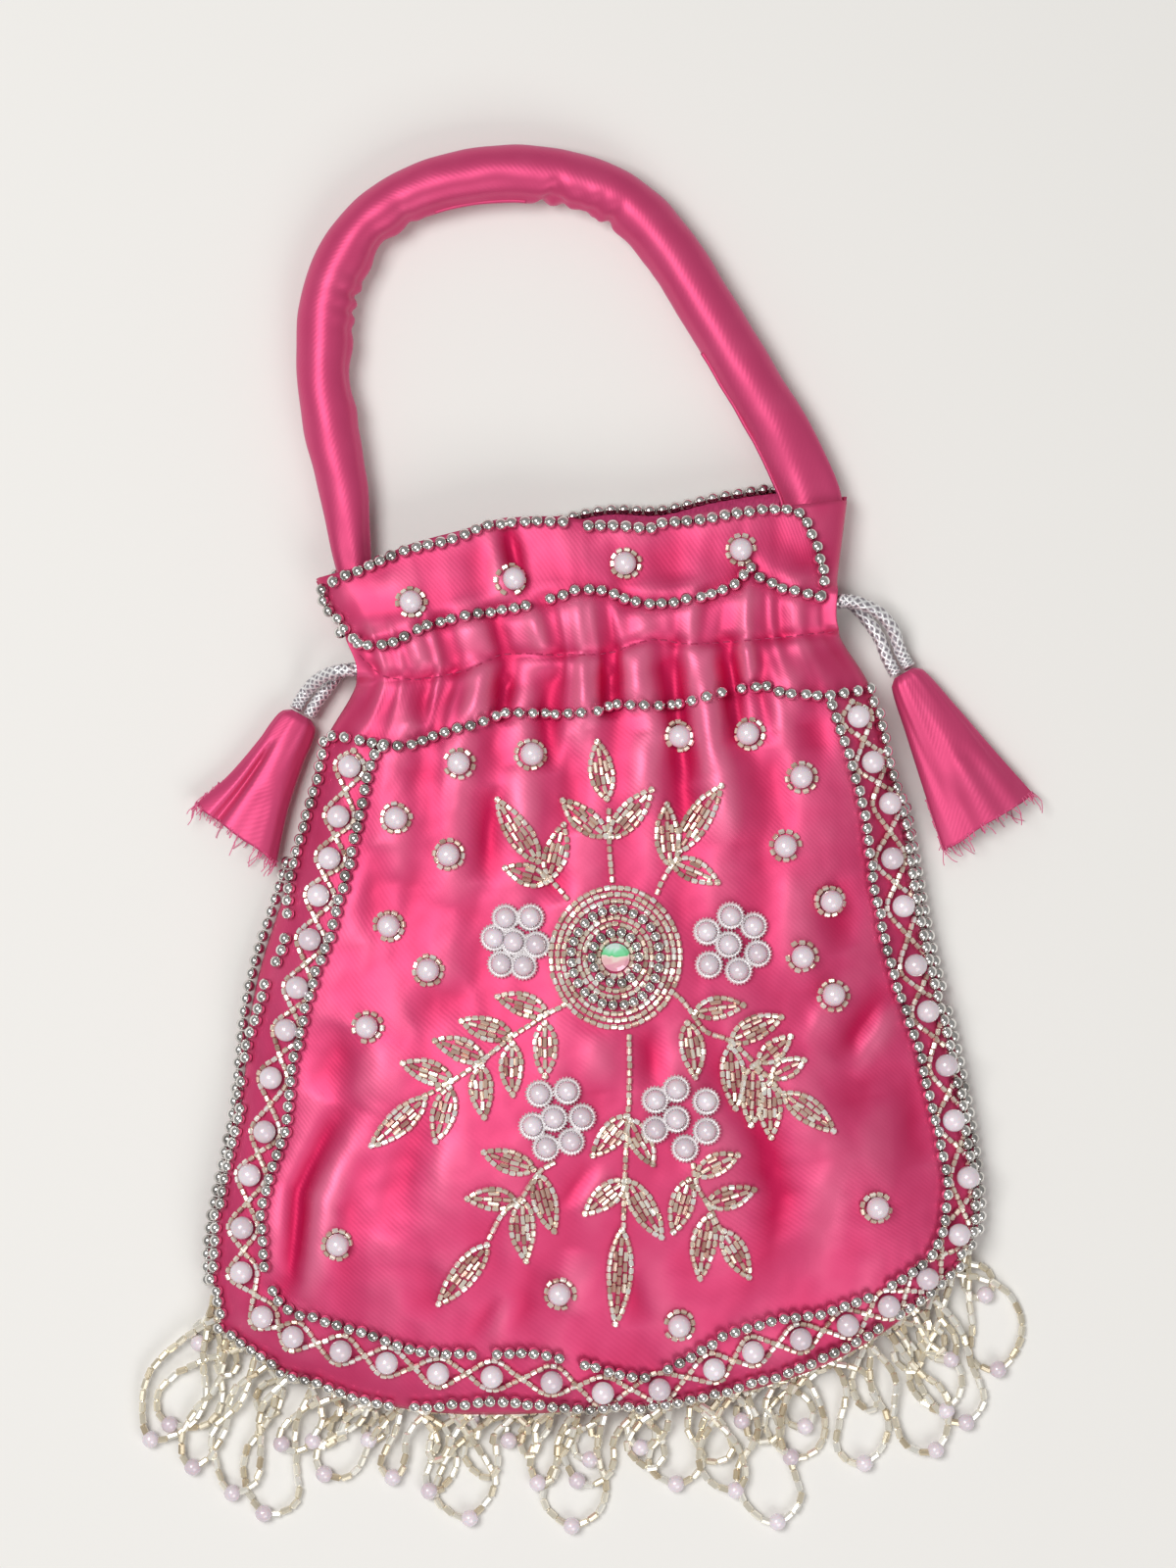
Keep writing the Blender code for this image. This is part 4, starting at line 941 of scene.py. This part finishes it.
silverBead = ballTemplate("silverBeadShape", 1.6, 12, 8, 0.30)
pearlBead = ballTemplate("pearlShape", 2.9, 18, 12, 0.08)
fringePearl = ballTemplate("fringePearlShape", 2.2, 14, 8, 0.1)
seedBead = tubeTemplate("seedShape", 0.67, 1.62)
bugleBead = tubeTemplate("bugleShape", 0.58, 2.6)
fringeBugle = tubeTemplate("fringeBugleShape", 0.88, 2.85, 7)
metalCoil = coilTemplate("coilShape", 2.95, 0.85, 24)
flowerPearl = ballTemplate("flowerPearlShape", 2.45, 18, 12, 0.08)


def aim(point, along, up):
    # stands a template at a point, its thread along a direction
    z = along.normalized()
    x = up.cross(z)
    x = x.normalized() if x.length > 1e-4 else Vector((1, 0, 0))
    y = z.cross(x)
    turn = Matrix((x, y, z)).transposed().to_4x4()
    return Matrix.Translation(point) @ turn @ Matrix.Rotation(rng.uniform(0, 6.28), 4, "Z")


def strew(name, parts, material, replaces=(), smooth=True):
    # one piece of many beads; parts are pairs of a template and its place
    bm = bmesh.new()
    for shape, matrix in parts:
        copy = shape.copy()
        copy.transform(matrix)
        bm.from_mesh(copy)
        bpy.data.meshes.remove(copy)
    addPiece(name, bm, material, "bag", replaces, smooth)


def beadLine(flatPath, shape, pitch, height, wobble=0.12, gaps=(), slack=0.08, twisted=0.04):
    # beads on a thread over the cloth; gaps are shares of the line left bare
    places = spaced(flatPath, pitch)
    out = []
    for i, (p, d) in enumerate(zip(places, headings(places))):
        share = i / max(1, len(places) - 1)
        nudge = Vector((-d.y, d.x, 0)) * rng.gauss(0, wobble) + d * rng.gauss(0, slack)
        twist = Vector((rng.gauss(0, twisted), rng.gauss(0, twisted), rng.gauss(0, twisted / 2)))
        if any(low < share < high for low, high in gaps):
            continue
        point, normal = onCloth(p + nudge, height)
        along = (d - normal * d.dot(normal)).normalized() + twist
        out.append((shape, aim(point, along, normal)))
    return out


# Rows of silver beads


outerPixels = (
    334, 758, 331, 780, 326, 797, 318, 826, 313, 845, 308, 864, 302, 888, 298, 908, 296, 931, 295, 950, 292, 965,
    284, 985, 276, 998, 269, 1021, 260, 1051, 255, 1074, 251, 1097, 247, 1123, 242, 1138, 234, 1158, 226, 1179,
    222, 1199, 222, 1222, 224, 1250, 223, 1276, 220, 1301, 218, 1327, 222, 1347, 231, 1362, 248, 1378, 266, 1388,
    287, 1398, 310, 1406, 338, 1414, 363, 1424, 394, 1430, 430, 1433, 465, 1431, 506, 1428, 547, 1431, 588, 1435,
    639, 1433, 674, 1431, 700, 1426, 736, 1418, 771, 1408, 802, 1398, 838, 1384, 863, 1371, 889, 1357, 914, 1340,
    935, 1326, 960, 1306, 975, 1292, 987, 1273, 991, 1250, 992, 1225, 990, 1199, 985, 1174, 981, 1148, 978, 1123,
    976, 1097, 971, 1072, 968, 1046, 960, 1021, 953, 990, 947, 960, 940, 929, 933, 898, 927, 868, 919, 837, 912, 806,
    905, 783, 901, 765, 898, 748, 894, 732, 889, 717)
innerPixels = (
    392, 762, 385, 765, 381, 775, 376, 790, 374, 808, 370, 822, 368, 838, 363, 852, 361, 866, 359, 880, 354, 894,
    350, 909, 346, 924, 342, 940, 338, 957, 332, 970, 326, 985, 321, 1002, 316, 1018, 313, 1032, 309, 1050, 304, 1070,
    299, 1088, 297, 1105, 296, 1135, 292, 1155, 287, 1172, 281, 1190, 276, 1205, 272, 1220, 268, 1240, 269, 1258,
    270, 1276, 272, 1294, 275, 1308, 281, 1321, 290, 1331, 302, 1338, 322, 1344, 343, 1351, 364, 1357, 384, 1363,
    404, 1371, 425, 1377, 450, 1379, 476, 1381, 506, 1380, 532, 1379, 552, 1381, 578, 1386, 608, 1394, 634, 1401,
    655, 1404, 675, 1398, 700, 1386, 720, 1374, 741, 1361, 767, 1353, 787, 1347, 812, 1343, 838, 1339, 859, 1332,
    884, 1323, 909, 1310, 930, 1297, 945, 1283, 956, 1268, 961, 1250, 964, 1230, 965, 1209, 961, 1184, 958, 1170,
    954, 1150, 947, 1120, 940, 1092, 936, 1072, 929, 1050, 922, 1030, 914, 1010, 907, 985, 900, 955, 895, 925,
    889, 905, 888, 888, 885, 868, 881, 840, 876, 815, 869, 785, 862, 762, 858, 748, 853, 733, 848, 721)
rimPixels = (
    361, 652, 350, 633, 333, 618, 329, 604, 340, 594, 361, 585, 376, 579, 415, 562, 461, 551, 495, 537, 530, 533,
    568, 533, 592, 537, 612, 538, 629, 538, 663, 539, 679, 534, 721, 530, 759, 523, 790, 521, 812, 522, 822, 533,
    832, 556, 837, 578, 840, 595, 838, 608)


rowFacts = dict(pitch=3.2, height=1.62, twisted=0.14, backPitch=3.3, backOut=1.85, rimLevel=3.4)


def makeRows():
    # each row's name, course, and the shares of it that have lost their beads
    rows = (
        ("outer_edge_beads", outerPixels, ((0.095, 0.10), (0.118, 0.123), (0.171, 0.176), (0.405, 0.410),
                                           (0.66, 0.664))),
        ("inner_edge_beads", innerPixels, ((0.43, 0.436), (0.475, 0.481), (0.523, 0.530), (0.655, 0.66),
                                           (0.20, 0.205), (0.30, 0.304))),
        ("front_rim_beads", rimPixels, ((0.508, 0.516), (0.530, 0.540))),
        ("casing_beads", rowTwoPixels, ((0.398, 0.416),)),
        ("yoke_beads", yokePixels, ((0.735, 0.75),)),
    )
    for node, pixels, gaps in rows:
        path = curveThrough(fromPixels(pixels), len(pixels) * 2)
        parts = beadLine(path, silverBead, rowFacts["pitch"], rowFacts["height"], gaps=gaps,
                         twisted=rowFacts["twisted"])
        strew(camel(node.replace("front_", "")), parts, silver, replaces=(node,))


def makeBackRows():
    # rows on the back panel's edge, seen past the front from above
    pitch = rowFacts["backPitch"]
    for node, side, top in (("back_left_beads", -1, 52.0), ("back_right_beads", 1, 66.5)):
        line = []
        for i in range(60):
            v = mix(0.105, 0.745, i / 59)
            p, q = spot(side, v), spot(side, v + 0.01)
            away = Vector((q.y - p.y, p.x - q.x)).normalized() * side
            line.append(Vector((*(p + away * rowFacts["backOut"]), seamHeight(v) - 1.2)))
        places = spaced(line, pitch)
        parts = [(silverBead, aim(p, d, upright)) for p, d in zip(places, headings(places))
                 if rng.random() > 0.02 and p.y < top]
        strew(camel(node), parts, silver, replaces=(node,))
    line = [back(mix(-0.93, 0.93, i / 40), 1.0) + Vector((0, 0.8, 0)) for i in range(41)]
    places = spaced([Vector((p.x, p.y, rowFacts["rimLevel"])) for p in line], pitch)
    parts = [(silverBead, aim(p, d, upright)) for p, d in zip(places, headings(places))]
    strew("backRimBeads", parts, silver, replaces=("back_rim_beads",))


makeRows()
makeBackRows()
print("bead rows made")


# The border of pearls between crossing strings


borderPixels = (
    358, 782, 347, 833, 338, 876, 327, 914, 318, 959, 305, 1008, 294, 1051, 279, 1100, 272, 1155, 257, 1200,
    249, 1253, 248, 1298, 269, 1343, 300, 1363, 348, 1377, 395, 1389, 447, 1400, 502, 1403, 563, 1408, 615, 1419,
    673, 1415, 728, 1395, 768, 1378, 816, 1365, 865, 1350, 905, 1331, 944, 1303, 976, 1259, 984, 1202, 970, 1144,
    962, 1088, 944, 1033, 932, 986, 919, 925, 907, 876, 904, 820, 887, 778, 873, 732)


def pearlAt(place, shape=pearlBead, rise=2.75):
    point, normal = onCloth(place, rise)
    return shape, aim(point, Vector((rng.uniform(-1, 1), rng.uniform(-1, 1), 0.1)), normal)


borderFacts = dict(swing=3.75, beyond=4.0, pitch=1.78, height=0.9, wobble=0.04, slack=0.03)


def makeBorder():
    # the strings cross between the pearls and pass them on the other side each time
    centres = fromPixels(borderPixels)
    strew("borderPearls", [pearlAt(p) for p in centres], pearl, replaces=("border_braid",))
    across = [Vector((-d.y, d.x, 0)) for d in headings(centres)]
    parts = []
    for way in (1, -1):
        first, last = centres[0] - centres[1], centres[-1] - centres[-2]
        line = [centres[0] + first.normalized() * borderFacts["beyond"]]
        for k, (p, n) in enumerate(zip(centres, across)):
            side = way if k % 2 else -way
            line.append(p + n * side * borderFacts["swing"])
            if k + 1 < len(centres):
                line.append((p + centres[k + 1]) / 2 + n * rng.uniform(-0.3, 0.3))
        line.append(centres[-1] + last.normalized() * borderFacts["beyond"])
        parts += beadLine(curveThrough(line, len(line) * 8), seedBead, borderFacts["pitch"], borderFacts["height"],
                          wobble=borderFacts["wobble"], slack=borderFacts["slack"])
    strew("borderStrings", parts, cutGlass, replaces=("border_braid",), smooth=False)


makeBorder()


# The medallion


def ringPath(centre, radius, stretch):
    count = 48
    return [centre + Vector((math.cos(math.tau * k / count) * radius,
                             math.sin(math.tau * k / count) * radius * stretch, 0)) for k in range(count + 1)]


medallionFacts = dict(stretch=1.085, seedPitch=1.84, silverPitch=2.72, silverSize=0.86, rings=(
    (4.4, "seed"), (6.1, "silver"), (8.0, "seed"), (9.5, "seed"), (11.5, "silver"), (13.5, "seed"), (15.1, "seed"),
    (16.7, "seed")))
stoneFacts = dict(radius=3.75, top=3.55, depth=1.2, sides=28, rise=1.25, hole=0.42, holePlace=(2.5, -0.9, 0.62))


def makeMedallion():
    glass, metal = [], []
    for radius, kind in medallionFacts["rings"]:
        path = ringPath(medallionPlace, radius * 0.985, medallionFacts["stretch"])
        if kind == "seed":
            glass += beadLine(path, seedBead, medallionFacts["seedPitch"], 0.85, wobble=0.05)[:-1]
        else:
            metal += beadLine(path, silverBead, medallionFacts["silverPitch"], 1.4, wobble=0.08)[:-1]
    small = Matrix.Scale(medallionFacts["silverSize"], 4)
    metal = [(shape, matrix @ small) for shape, matrix in metal]
    strew("medallionGlass", glass, cutGlass, replaces=("medallion",), smooth=False)
    strew("medallionSilver", metal, silver, replaces=("medallion",))


def makeStone():
    # a flat-backed round stone, faceted round its table, with two holes to sew it by
    bm = bmesh.new()
    bmesh.ops.create_cone(bm, cap_ends=True, segments=stoneFacts["sides"], radius1=stoneFacts["radius"],
                          radius2=stoneFacts["top"], depth=stoneFacts["depth"])
    table = max(bm.faces, key=lambda f: f.calc_center_median().z)
    bmesh.ops.inset_region(bm, faces=[table], thickness=0.9, depth=0.45)
    point, normal = onCloth(medallionPlace, stoneFacts["rise"])
    seat = Matrix.Translation(point) @ normal.to_track_quat("Z", "Y").to_matrix().to_4x4()
    bmesh.ops.transform(bm, matrix=seat, verts=bm.verts)
    addPiece("centreStone", bm, stoneFoil, replaces=("centre_stone",), smooth=False)
    bm = bmesh.new()
    across, along, high = stoneFacts["holePlace"]
    for side in (-1, 1):
        hole = bmesh.ops.create_cone(bm, cap_ends=True, segments=10, radius1=stoneFacts["hole"],
                                     radius2=stoneFacts["hole"], depth=0.5)
        bmesh.ops.translate(bm, verts=hole["verts"], vec=(side * across, along, high))
    bmesh.ops.transform(bm, matrix=seat, verts=bm.verts)
    addPiece("centreStoneHoles", bm, lining, smooth=False)


makeMedallion()
makeStone()
print("border and medallion made")


# Flowers: six pearls round a seventh, each in a ring of metal coil


flowerPixels = {
    "flower_left": (524, 961, 516, 937, 541, 937, 505, 957, 547, 964, 512, 983, 534, 985),
    "flower_right": (743, 964, 745, 935, 768, 945, 722, 951, 772, 973, 724, 984, 753, 990),
    "flower_low_left": (565, 1141, 551, 1117, 578, 1114, 544, 1149, 593, 1140, 557, 1170, 582, 1164),
    "flower_low_right": (690, 1142, 690, 1112, 669, 1123, 719, 1125, 669, 1152, 720, 1154, 699, 1171),
}


flowerFacts = dict(spread=1.03, pearlRise=3.0, coilRise=1.5)


def makeFlowers():
    for node, pixels in flowerPixels.items():
        name = camel(node)
        middle = fromPixels(pixels)[0]
        balls, coils = [], []
        for place in fromPixels(pixels):
            place = middle + (place - middle) * flowerFacts["spread"]
            balls.append(pearlAt(place, flowerPearl, flowerFacts["pearlRise"]))
            point, normal = onCloth(place, flowerFacts["coilRise"])
            coils.append((metalCoil, aim(point, normal, Vector((1, 0, 0)))))
        strew(name + "Pearls", balls, pearl, replaces=(node,))
        strew(name + "Coil", coils, coilMetal, replaces=(node,), smooth=False)


# Single pearls, each in a ring of cut beads


pearlPixels = (
    419, 615, 521, 592, 638, 575, 756, 561, 468, 779, 541, 770, 693, 751, 765, 749, 818, 793, 404, 835, 458, 872,
    802, 863, 397, 945, 437, 990, 846, 919, 818, 976, 850, 1016, 375, 1048, 894, 1232, 344, 1270, 572, 1320, 693, 1352)


pearlFacts = dict(ring=3.5, seeds=(11, 12, 12), missing=(0, 0, 0, 1, 1), height=0.8)


def makePearls():
    for k, place in enumerate(fromPixels(pearlPixels)):
        node = f"pearl_{k + 1:02d}"
        strew(f"pearl{k + 1:02d}", [pearlAt(place)], pearl, replaces=(node,))
        count = rng.choice(pearlFacts["seeds"])
        start, missing = rng.uniform(0, 6.28), rng.choice(pearlFacts["missing"])
        ring = []
        for i in range(count - missing):
            angle = start + math.tau * i / count
            out = Vector((math.cos(angle), math.sin(angle), 0))
            point, normal = onCloth(place + out * (pearlFacts["ring"] + rng.uniform(-0.15, 0.25)), pearlFacts["height"])
            along = Vector((-out.y, out.x, rng.uniform(-0.1, 0.1)))
            ring.append((seedBead, aim(point, along, normal)))
        strew(f"pearl{k + 1:02d}Ring", ring, cutGlass, replaces=(node,), smooth=False)


makeFlowers()
makePearls()
print("flowers and pearls made")


# Leaf sprays, each its stem and its leaves from base to tip, in pixels


sprayPixels = {
    "spray_top": ((624, 897, 621, 860, 621, 828), (
        (619, 815, 609, 757), (618, 853, 574, 817), (623, 854, 664, 806))),
    "spray_top_left": ((578, 916, 566, 903, 556, 892), (
        (549, 879, 508, 816), (560, 896, 575, 842), (557, 900, 516, 886))),
    "spray_top_right": ((671, 910, 676, 898, 682, 888), (
        (685, 884, 680, 821), (693, 868, 736, 802), (686, 880, 732, 900))),
    "spray_left": ((576, 1025, 550, 1040, 520, 1060, 490, 1084, 460, 1104, 434, 1118), (
        (558, 1034, 508, 1017), (521, 1056, 471, 1042), (493, 1082, 444, 1062), (461, 1103, 411, 1085),
        (434, 1120, 379, 1169), (556, 1044, 556, 1098), (523, 1065, 523, 1117), (491, 1088, 494, 1140),
        (459, 1110, 445, 1164))),
    "spray_right": ((690, 1015, 700, 1026, 707, 1036, 722, 1054, 745, 1062, 770, 1085, 787, 1102, 800, 1118), (
        (709, 1033, 758, 1026), (746, 1062, 797, 1038), (774, 1084, 806, 1058), (787, 1098, 820, 1082),
        (701, 1044, 709, 1099), (745, 1068, 750, 1131), (768, 1088, 766, 1148), (785, 1105, 787, 1160),
        (800, 1116, 850, 1154))),
    "spray_low_left": ((564, 1187, 550, 1196, 532, 1222, 513, 1238, 500, 1262), (
        (544, 1193, 494, 1176), (526, 1225, 477, 1223), (549, 1199, 565, 1256), (533, 1225, 537, 1286),
        (497, 1270, 448, 1330))),
    "spray_bottom": ((642, 1058, 642, 1095, 641, 1132, 639, 1170, 637, 1210, 636, 1250), (
        (639, 1139, 605, 1179), (643, 1143, 666, 1188), (637, 1205, 597, 1238), (641, 1205, 675, 1262),
        (635, 1255, 628, 1350))),
    "spray_low_right": ((707, 1190, 712, 1212, 724, 1232, 734, 1252), (
        (712, 1199, 752, 1179), (722, 1228, 769, 1214), (703, 1204, 687, 1257), (724, 1240, 714, 1304),
        (738, 1256, 764, 1303))),
}


leafFacts = dict(stemPitch=1.85, rimPitch=1.82, seedHeight=0.85, columnPitch=1.28, bugleHeight=0.8, bugleRoom=2.25,
                 bugleFull=2.9, longest=1.12, width=3.9, widening=0.21, widest=7.0)


def leafBeads(base, tip, width):
    # a rim of seed beads round columns of bugles
    line = tip - base
    along = line.normalized()
    side = Vector((-along.y, along.x, 0))
    bow = rng.uniform(-0.5, 0.5)

    def half(t):
        return (width / 2 - 0.7) * math.sin(math.pi * min(max(t, 0.0), 1.0) ** 0.85) ** 0.8

    def middle(t):
        return base + line * t + side * bow * math.sin(math.pi * t)

    parts, filling = [], []
    for way in (-1, 1):
        rim = [middle(t / 20) + side * way * half(t / 20) for t in range(21)]
        parts += beadLine(rim, seedBead, leafFacts["rimPitch"], leafFacts["seedHeight"], wobble=0.04, slack=0.04)
    for column in (-1, 0, 1):
        offset = column * leafFacts["columnPitch"]
        inside = [t / 40 for t in range(41) if half(t / 40) > abs(offset) + 0.95]
        if len(inside) < 6:
            continue
        start, end = (middle(t) + side * offset for t in (inside[0], inside[-1]))
        reach = (end - start).length
        bugles = max(1, int(reach / leafFacts["bugleRoom"]))
        stretch = Matrix.Diagonal((1, 1, min(reach / bugles / leafFacts["bugleFull"], leafFacts["longest"]), 1))
        for k in range(bugles):
            share = (k + 0.5) / bugles
            place = start.lerp(end, share) + side * bow * 0.3 * math.sin(math.pi * share)
            point, normal = onCloth(place, leafFacts["bugleHeight"])
            twist = Vector((rng.gauss(0, 0.05), rng.gauss(0, 0.05), rng.gauss(0, 0.02)))
            way = (along - normal * along.dot(normal)).normalized() + twist
            filling.append((bugleBead, aim(point, way, normal) @ stretch))
    return parts, filling


def makeSprays():
    for node, (stem, leaves) in sprayPixels.items():
        path = curveThrough(fromPixels(stem), len(stem) * 3)
        parts = beadLine(path, seedBead, leafFacts["stemPitch"], leafFacts["seedHeight"], wobble=0.06)
        fillings = []
        for leaf in leaves:
            base, tip = fromPixels(leaf)
            width = leafFacts["width"] + (tip - base).length * leafFacts["widening"]
            rim, filling = leafBeads(base, tip, min(leafFacts["widest"], width))
            parts += rim
            fillings += filling
        name = camel(node)
        strew(name, parts, cutGlass, replaces=(node,), smooth=False)
        strew(name + "Filling", fillings, leafGlass, replaces=(node,), smooth=False)


makeSprays()
print("sprays made")


# The fringe


# The pearls at the tips of the fringe's loops, in pixels
fringeTips = (
    150, 1474, 166, 1457, 190, 1502, 233, 1529, 270, 1552, 288, 1483, 318, 1480, 326, 1508, 396, 1513, 440, 1530,
    474, 1556, 480, 1449, 516, 1474, 550, 1520, 581, 1563, 592, 1519, 652, 1482, 690, 1520, 753, 1526, 790, 1560,
    759, 1455, 810, 1493, 807, 1416, 880, 1500, 956, 1486, 968, 1445, 985, 1458, 973, 1392, 1023, 1402)


hemSteps = 400


def hemLine():
    # the bottom seam in even steps, from the left corner to the right one
    seam = [spot(-1, 0.085 - 0.085 * i / 8) for i in range(8)]
    seam += [spot(-1 + i / 30, 0.0) for i in range(61)]
    seam += [spot(1, 0.085 * i / 8) for i in range(1, 9)]
    line = [Vector((p.x, p.y, seamHeight(0.0) - 0.9)) for p in seam]
    walked = spaced(line, 1.0)
    return [walked[min(int(k / hemSteps * (len(walked) - 1)), len(walked) - 1)] for k in range(hemSteps + 1)]


def fringeLoop(hem, share, tip, facts, pearled):
    # one thread down from the hem, round its loop and back up
    middle = hem[round(share * hemSteps)]
    depth = (tip - middle).length
    away = (tip - middle).normalized()
    side = Vector((-away.y, away.x, 0))
    apart = rng.uniform(*facts["apart"])
    roots = [hem[min(max(round(share * hemSteps + way * apart), 0), hemSteps)] for way in (1, -1)]
    if rng.random() < facts["crossed"]:
        roots.reverse()
    wide = min(max(depth * rng.uniform(0.16, 0.36), 2.2), 8.0)
    lean = rng.uniform(-0.35, 0.35) * wide
    low = rng.choice(facts["levels"])
    line = [roots[0] - Vector((0, 0, 0.2))]
    for down, out in ((0.34, 0.42), (0.62, 0.9), (0.86, 0.8), (1.0, 0.0), (0.86, -0.8), (0.62, -0.9), (0.34, -0.42)):
        aside = out * wide * rng.uniform(0.75, 1.2) + lean * math.sin(math.pi * down)
        place = middle.lerp(tip, down) + side * aside
        height = mix(middle.z, low, ease(down, 0.0, 0.6)) + rng.uniform(0, 0.7)
        line.append(Vector((place.x, place.y, height)))
    line.append(roots[1] - Vector((0, 0, 0.2)))
    line[4] = tip.copy()
    line[4].z = max(low, facts["lowest"])
    places = spaced(curveThrough(line, 110), facts["pitch"])
    beads = []
    nearest = min(range(len(places)), key=lambda i: (places[i] - line[4]).length) if pearled else -1
    for i, (p, d) in enumerate(zip(places, headings(places))):
        if i == nearest:
            ball = Vector((p.x, p.y, max(p.z, facts["pearlLowest"])))
            beads.append((fringePearl, aim(ball, d, upright)))
            continue
        turn = d + Vector((rng.gauss(0, 0.08), rng.gauss(0, 0.08), rng.gauss(0, 0.02)))
        beads.append((fringeBugle, aim(Vector((p.x, p.y, max(p.z, facts["lowest"]))), turn, upright)))
    return beads


def makeFringe():
    # apart is in steps of the hem, levels and depths in mm
    facts = dict(pitch=3.0, apart=(5, 13), crossed=0.45, levels=(1.1, 1.8, 2.5), lowest=1.1, pearlLowest=2.25,
                 shortLoops=17, shortDepth=(9.0, 17.0))
    hem = hemLine()
    tips = sorted(fromPixels(fringeTips), key=lambda p: p.x)
    beads = []
    for k, tip in enumerate(tips):
        beads += fringeLoop(hem, (k + 0.5) / len(tips), tip, facts, True)
    for k in range(facts["shortLoops"]):
        share = (k + rng.uniform(0.2, 0.8)) / facts["shortLoops"]
        root = hem[round(share * hemSteps)]
        down = Vector((root.x * 0.006, -1, 0)).normalized() * rng.uniform(*facts["shortDepth"])
        beads += fringeLoop(hem, share, Vector((root.x, root.y, 0)) + down, facts, k % 4 == 0)
    sewn = spaced(hem, 2.1)
    beads += [(seedBead, aim(p, d, upright)) for p, d in zip(sewn, headings(sewn))]
    strew("fringeBeads", [b for b in beads if b[0] is not fringePearl], fringeGlass,
          replaces=("bead_fringe",), smooth=False)
    strew("fringePearls", [b for b in beads if b[0] is fringePearl], pearl, replaces=("bead_fringe",))


makeFringe()
print("fringe made")


# Stitches along the casing


def makeStitches():
    # short stitches of sewing thread that hold the casing
    facts = dict(radius=0.16, length=1.7, pitch=2.7, height=0.10)
    dash = tubeTemplate("stitchShape", facts["radius"], facts["length"], 5)
    path = curveThrough(fromPixels(stitchPixels), 120)
    parts = beadLine(path, dash, facts["pitch"], facts["height"], wobble=0.05)
    strew("casingStitches", parts, stitchThread)


makeStitches()
print("stitches made")


# Floor and light


# Each light's name, place, size and power
studioFacts = dict(lights=(("softbox", (-0.55, 0.30, 1.45), 0.70, 16.0), ("fillLight", (0.45, -0.85, 1.0), 0.8, 6.0)),
                   aimedAt=(0, 0.06, 0.01), air="ECEBEA", airStrength=0.34, floorHalf=3.0)


def makeStudio():
    mesh = bpy.data.meshes.new("studioFloor")
    bm = bmesh.new()
    bmesh.ops.create_grid(bm, x_segments=1, y_segments=1, size=studioFacts["floorHalf"])
    bm.to_mesh(mesh)
    bm.free()
    floor = bpy.data.objects.new("studioFloor", mesh)
    mesh.materials.append(paperMaterial())
    scene.collection.objects.link(floor)
    for name, place, size, power in studioFacts["lights"]:
        data = bpy.data.lights.new(name, "AREA")
        data.size = size
        data.energy = power
        lamp = bpy.data.objects.new(name, data)
        lamp.location = place
        lamp.rotation_mode = "QUATERNION"
        lamp.rotation_quaternion = (Vector(studioFacts["aimedAt"]) - Vector(place)).to_track_quat("-Z", "Y")
        scene.collection.objects.link(lamp)
    world = bpy.data.worlds.new("studioAir")
    world.use_nodes = True
    feed(world.node_tree, world.node_tree.nodes["Background"],
         {"Color": hexColour(studioFacts["air"]), "Strength": studioFacts["airStrength"]})
    scene.world = world
    scene.view_settings.view_transform = "Standard"


makeStudio()
print("studio made")
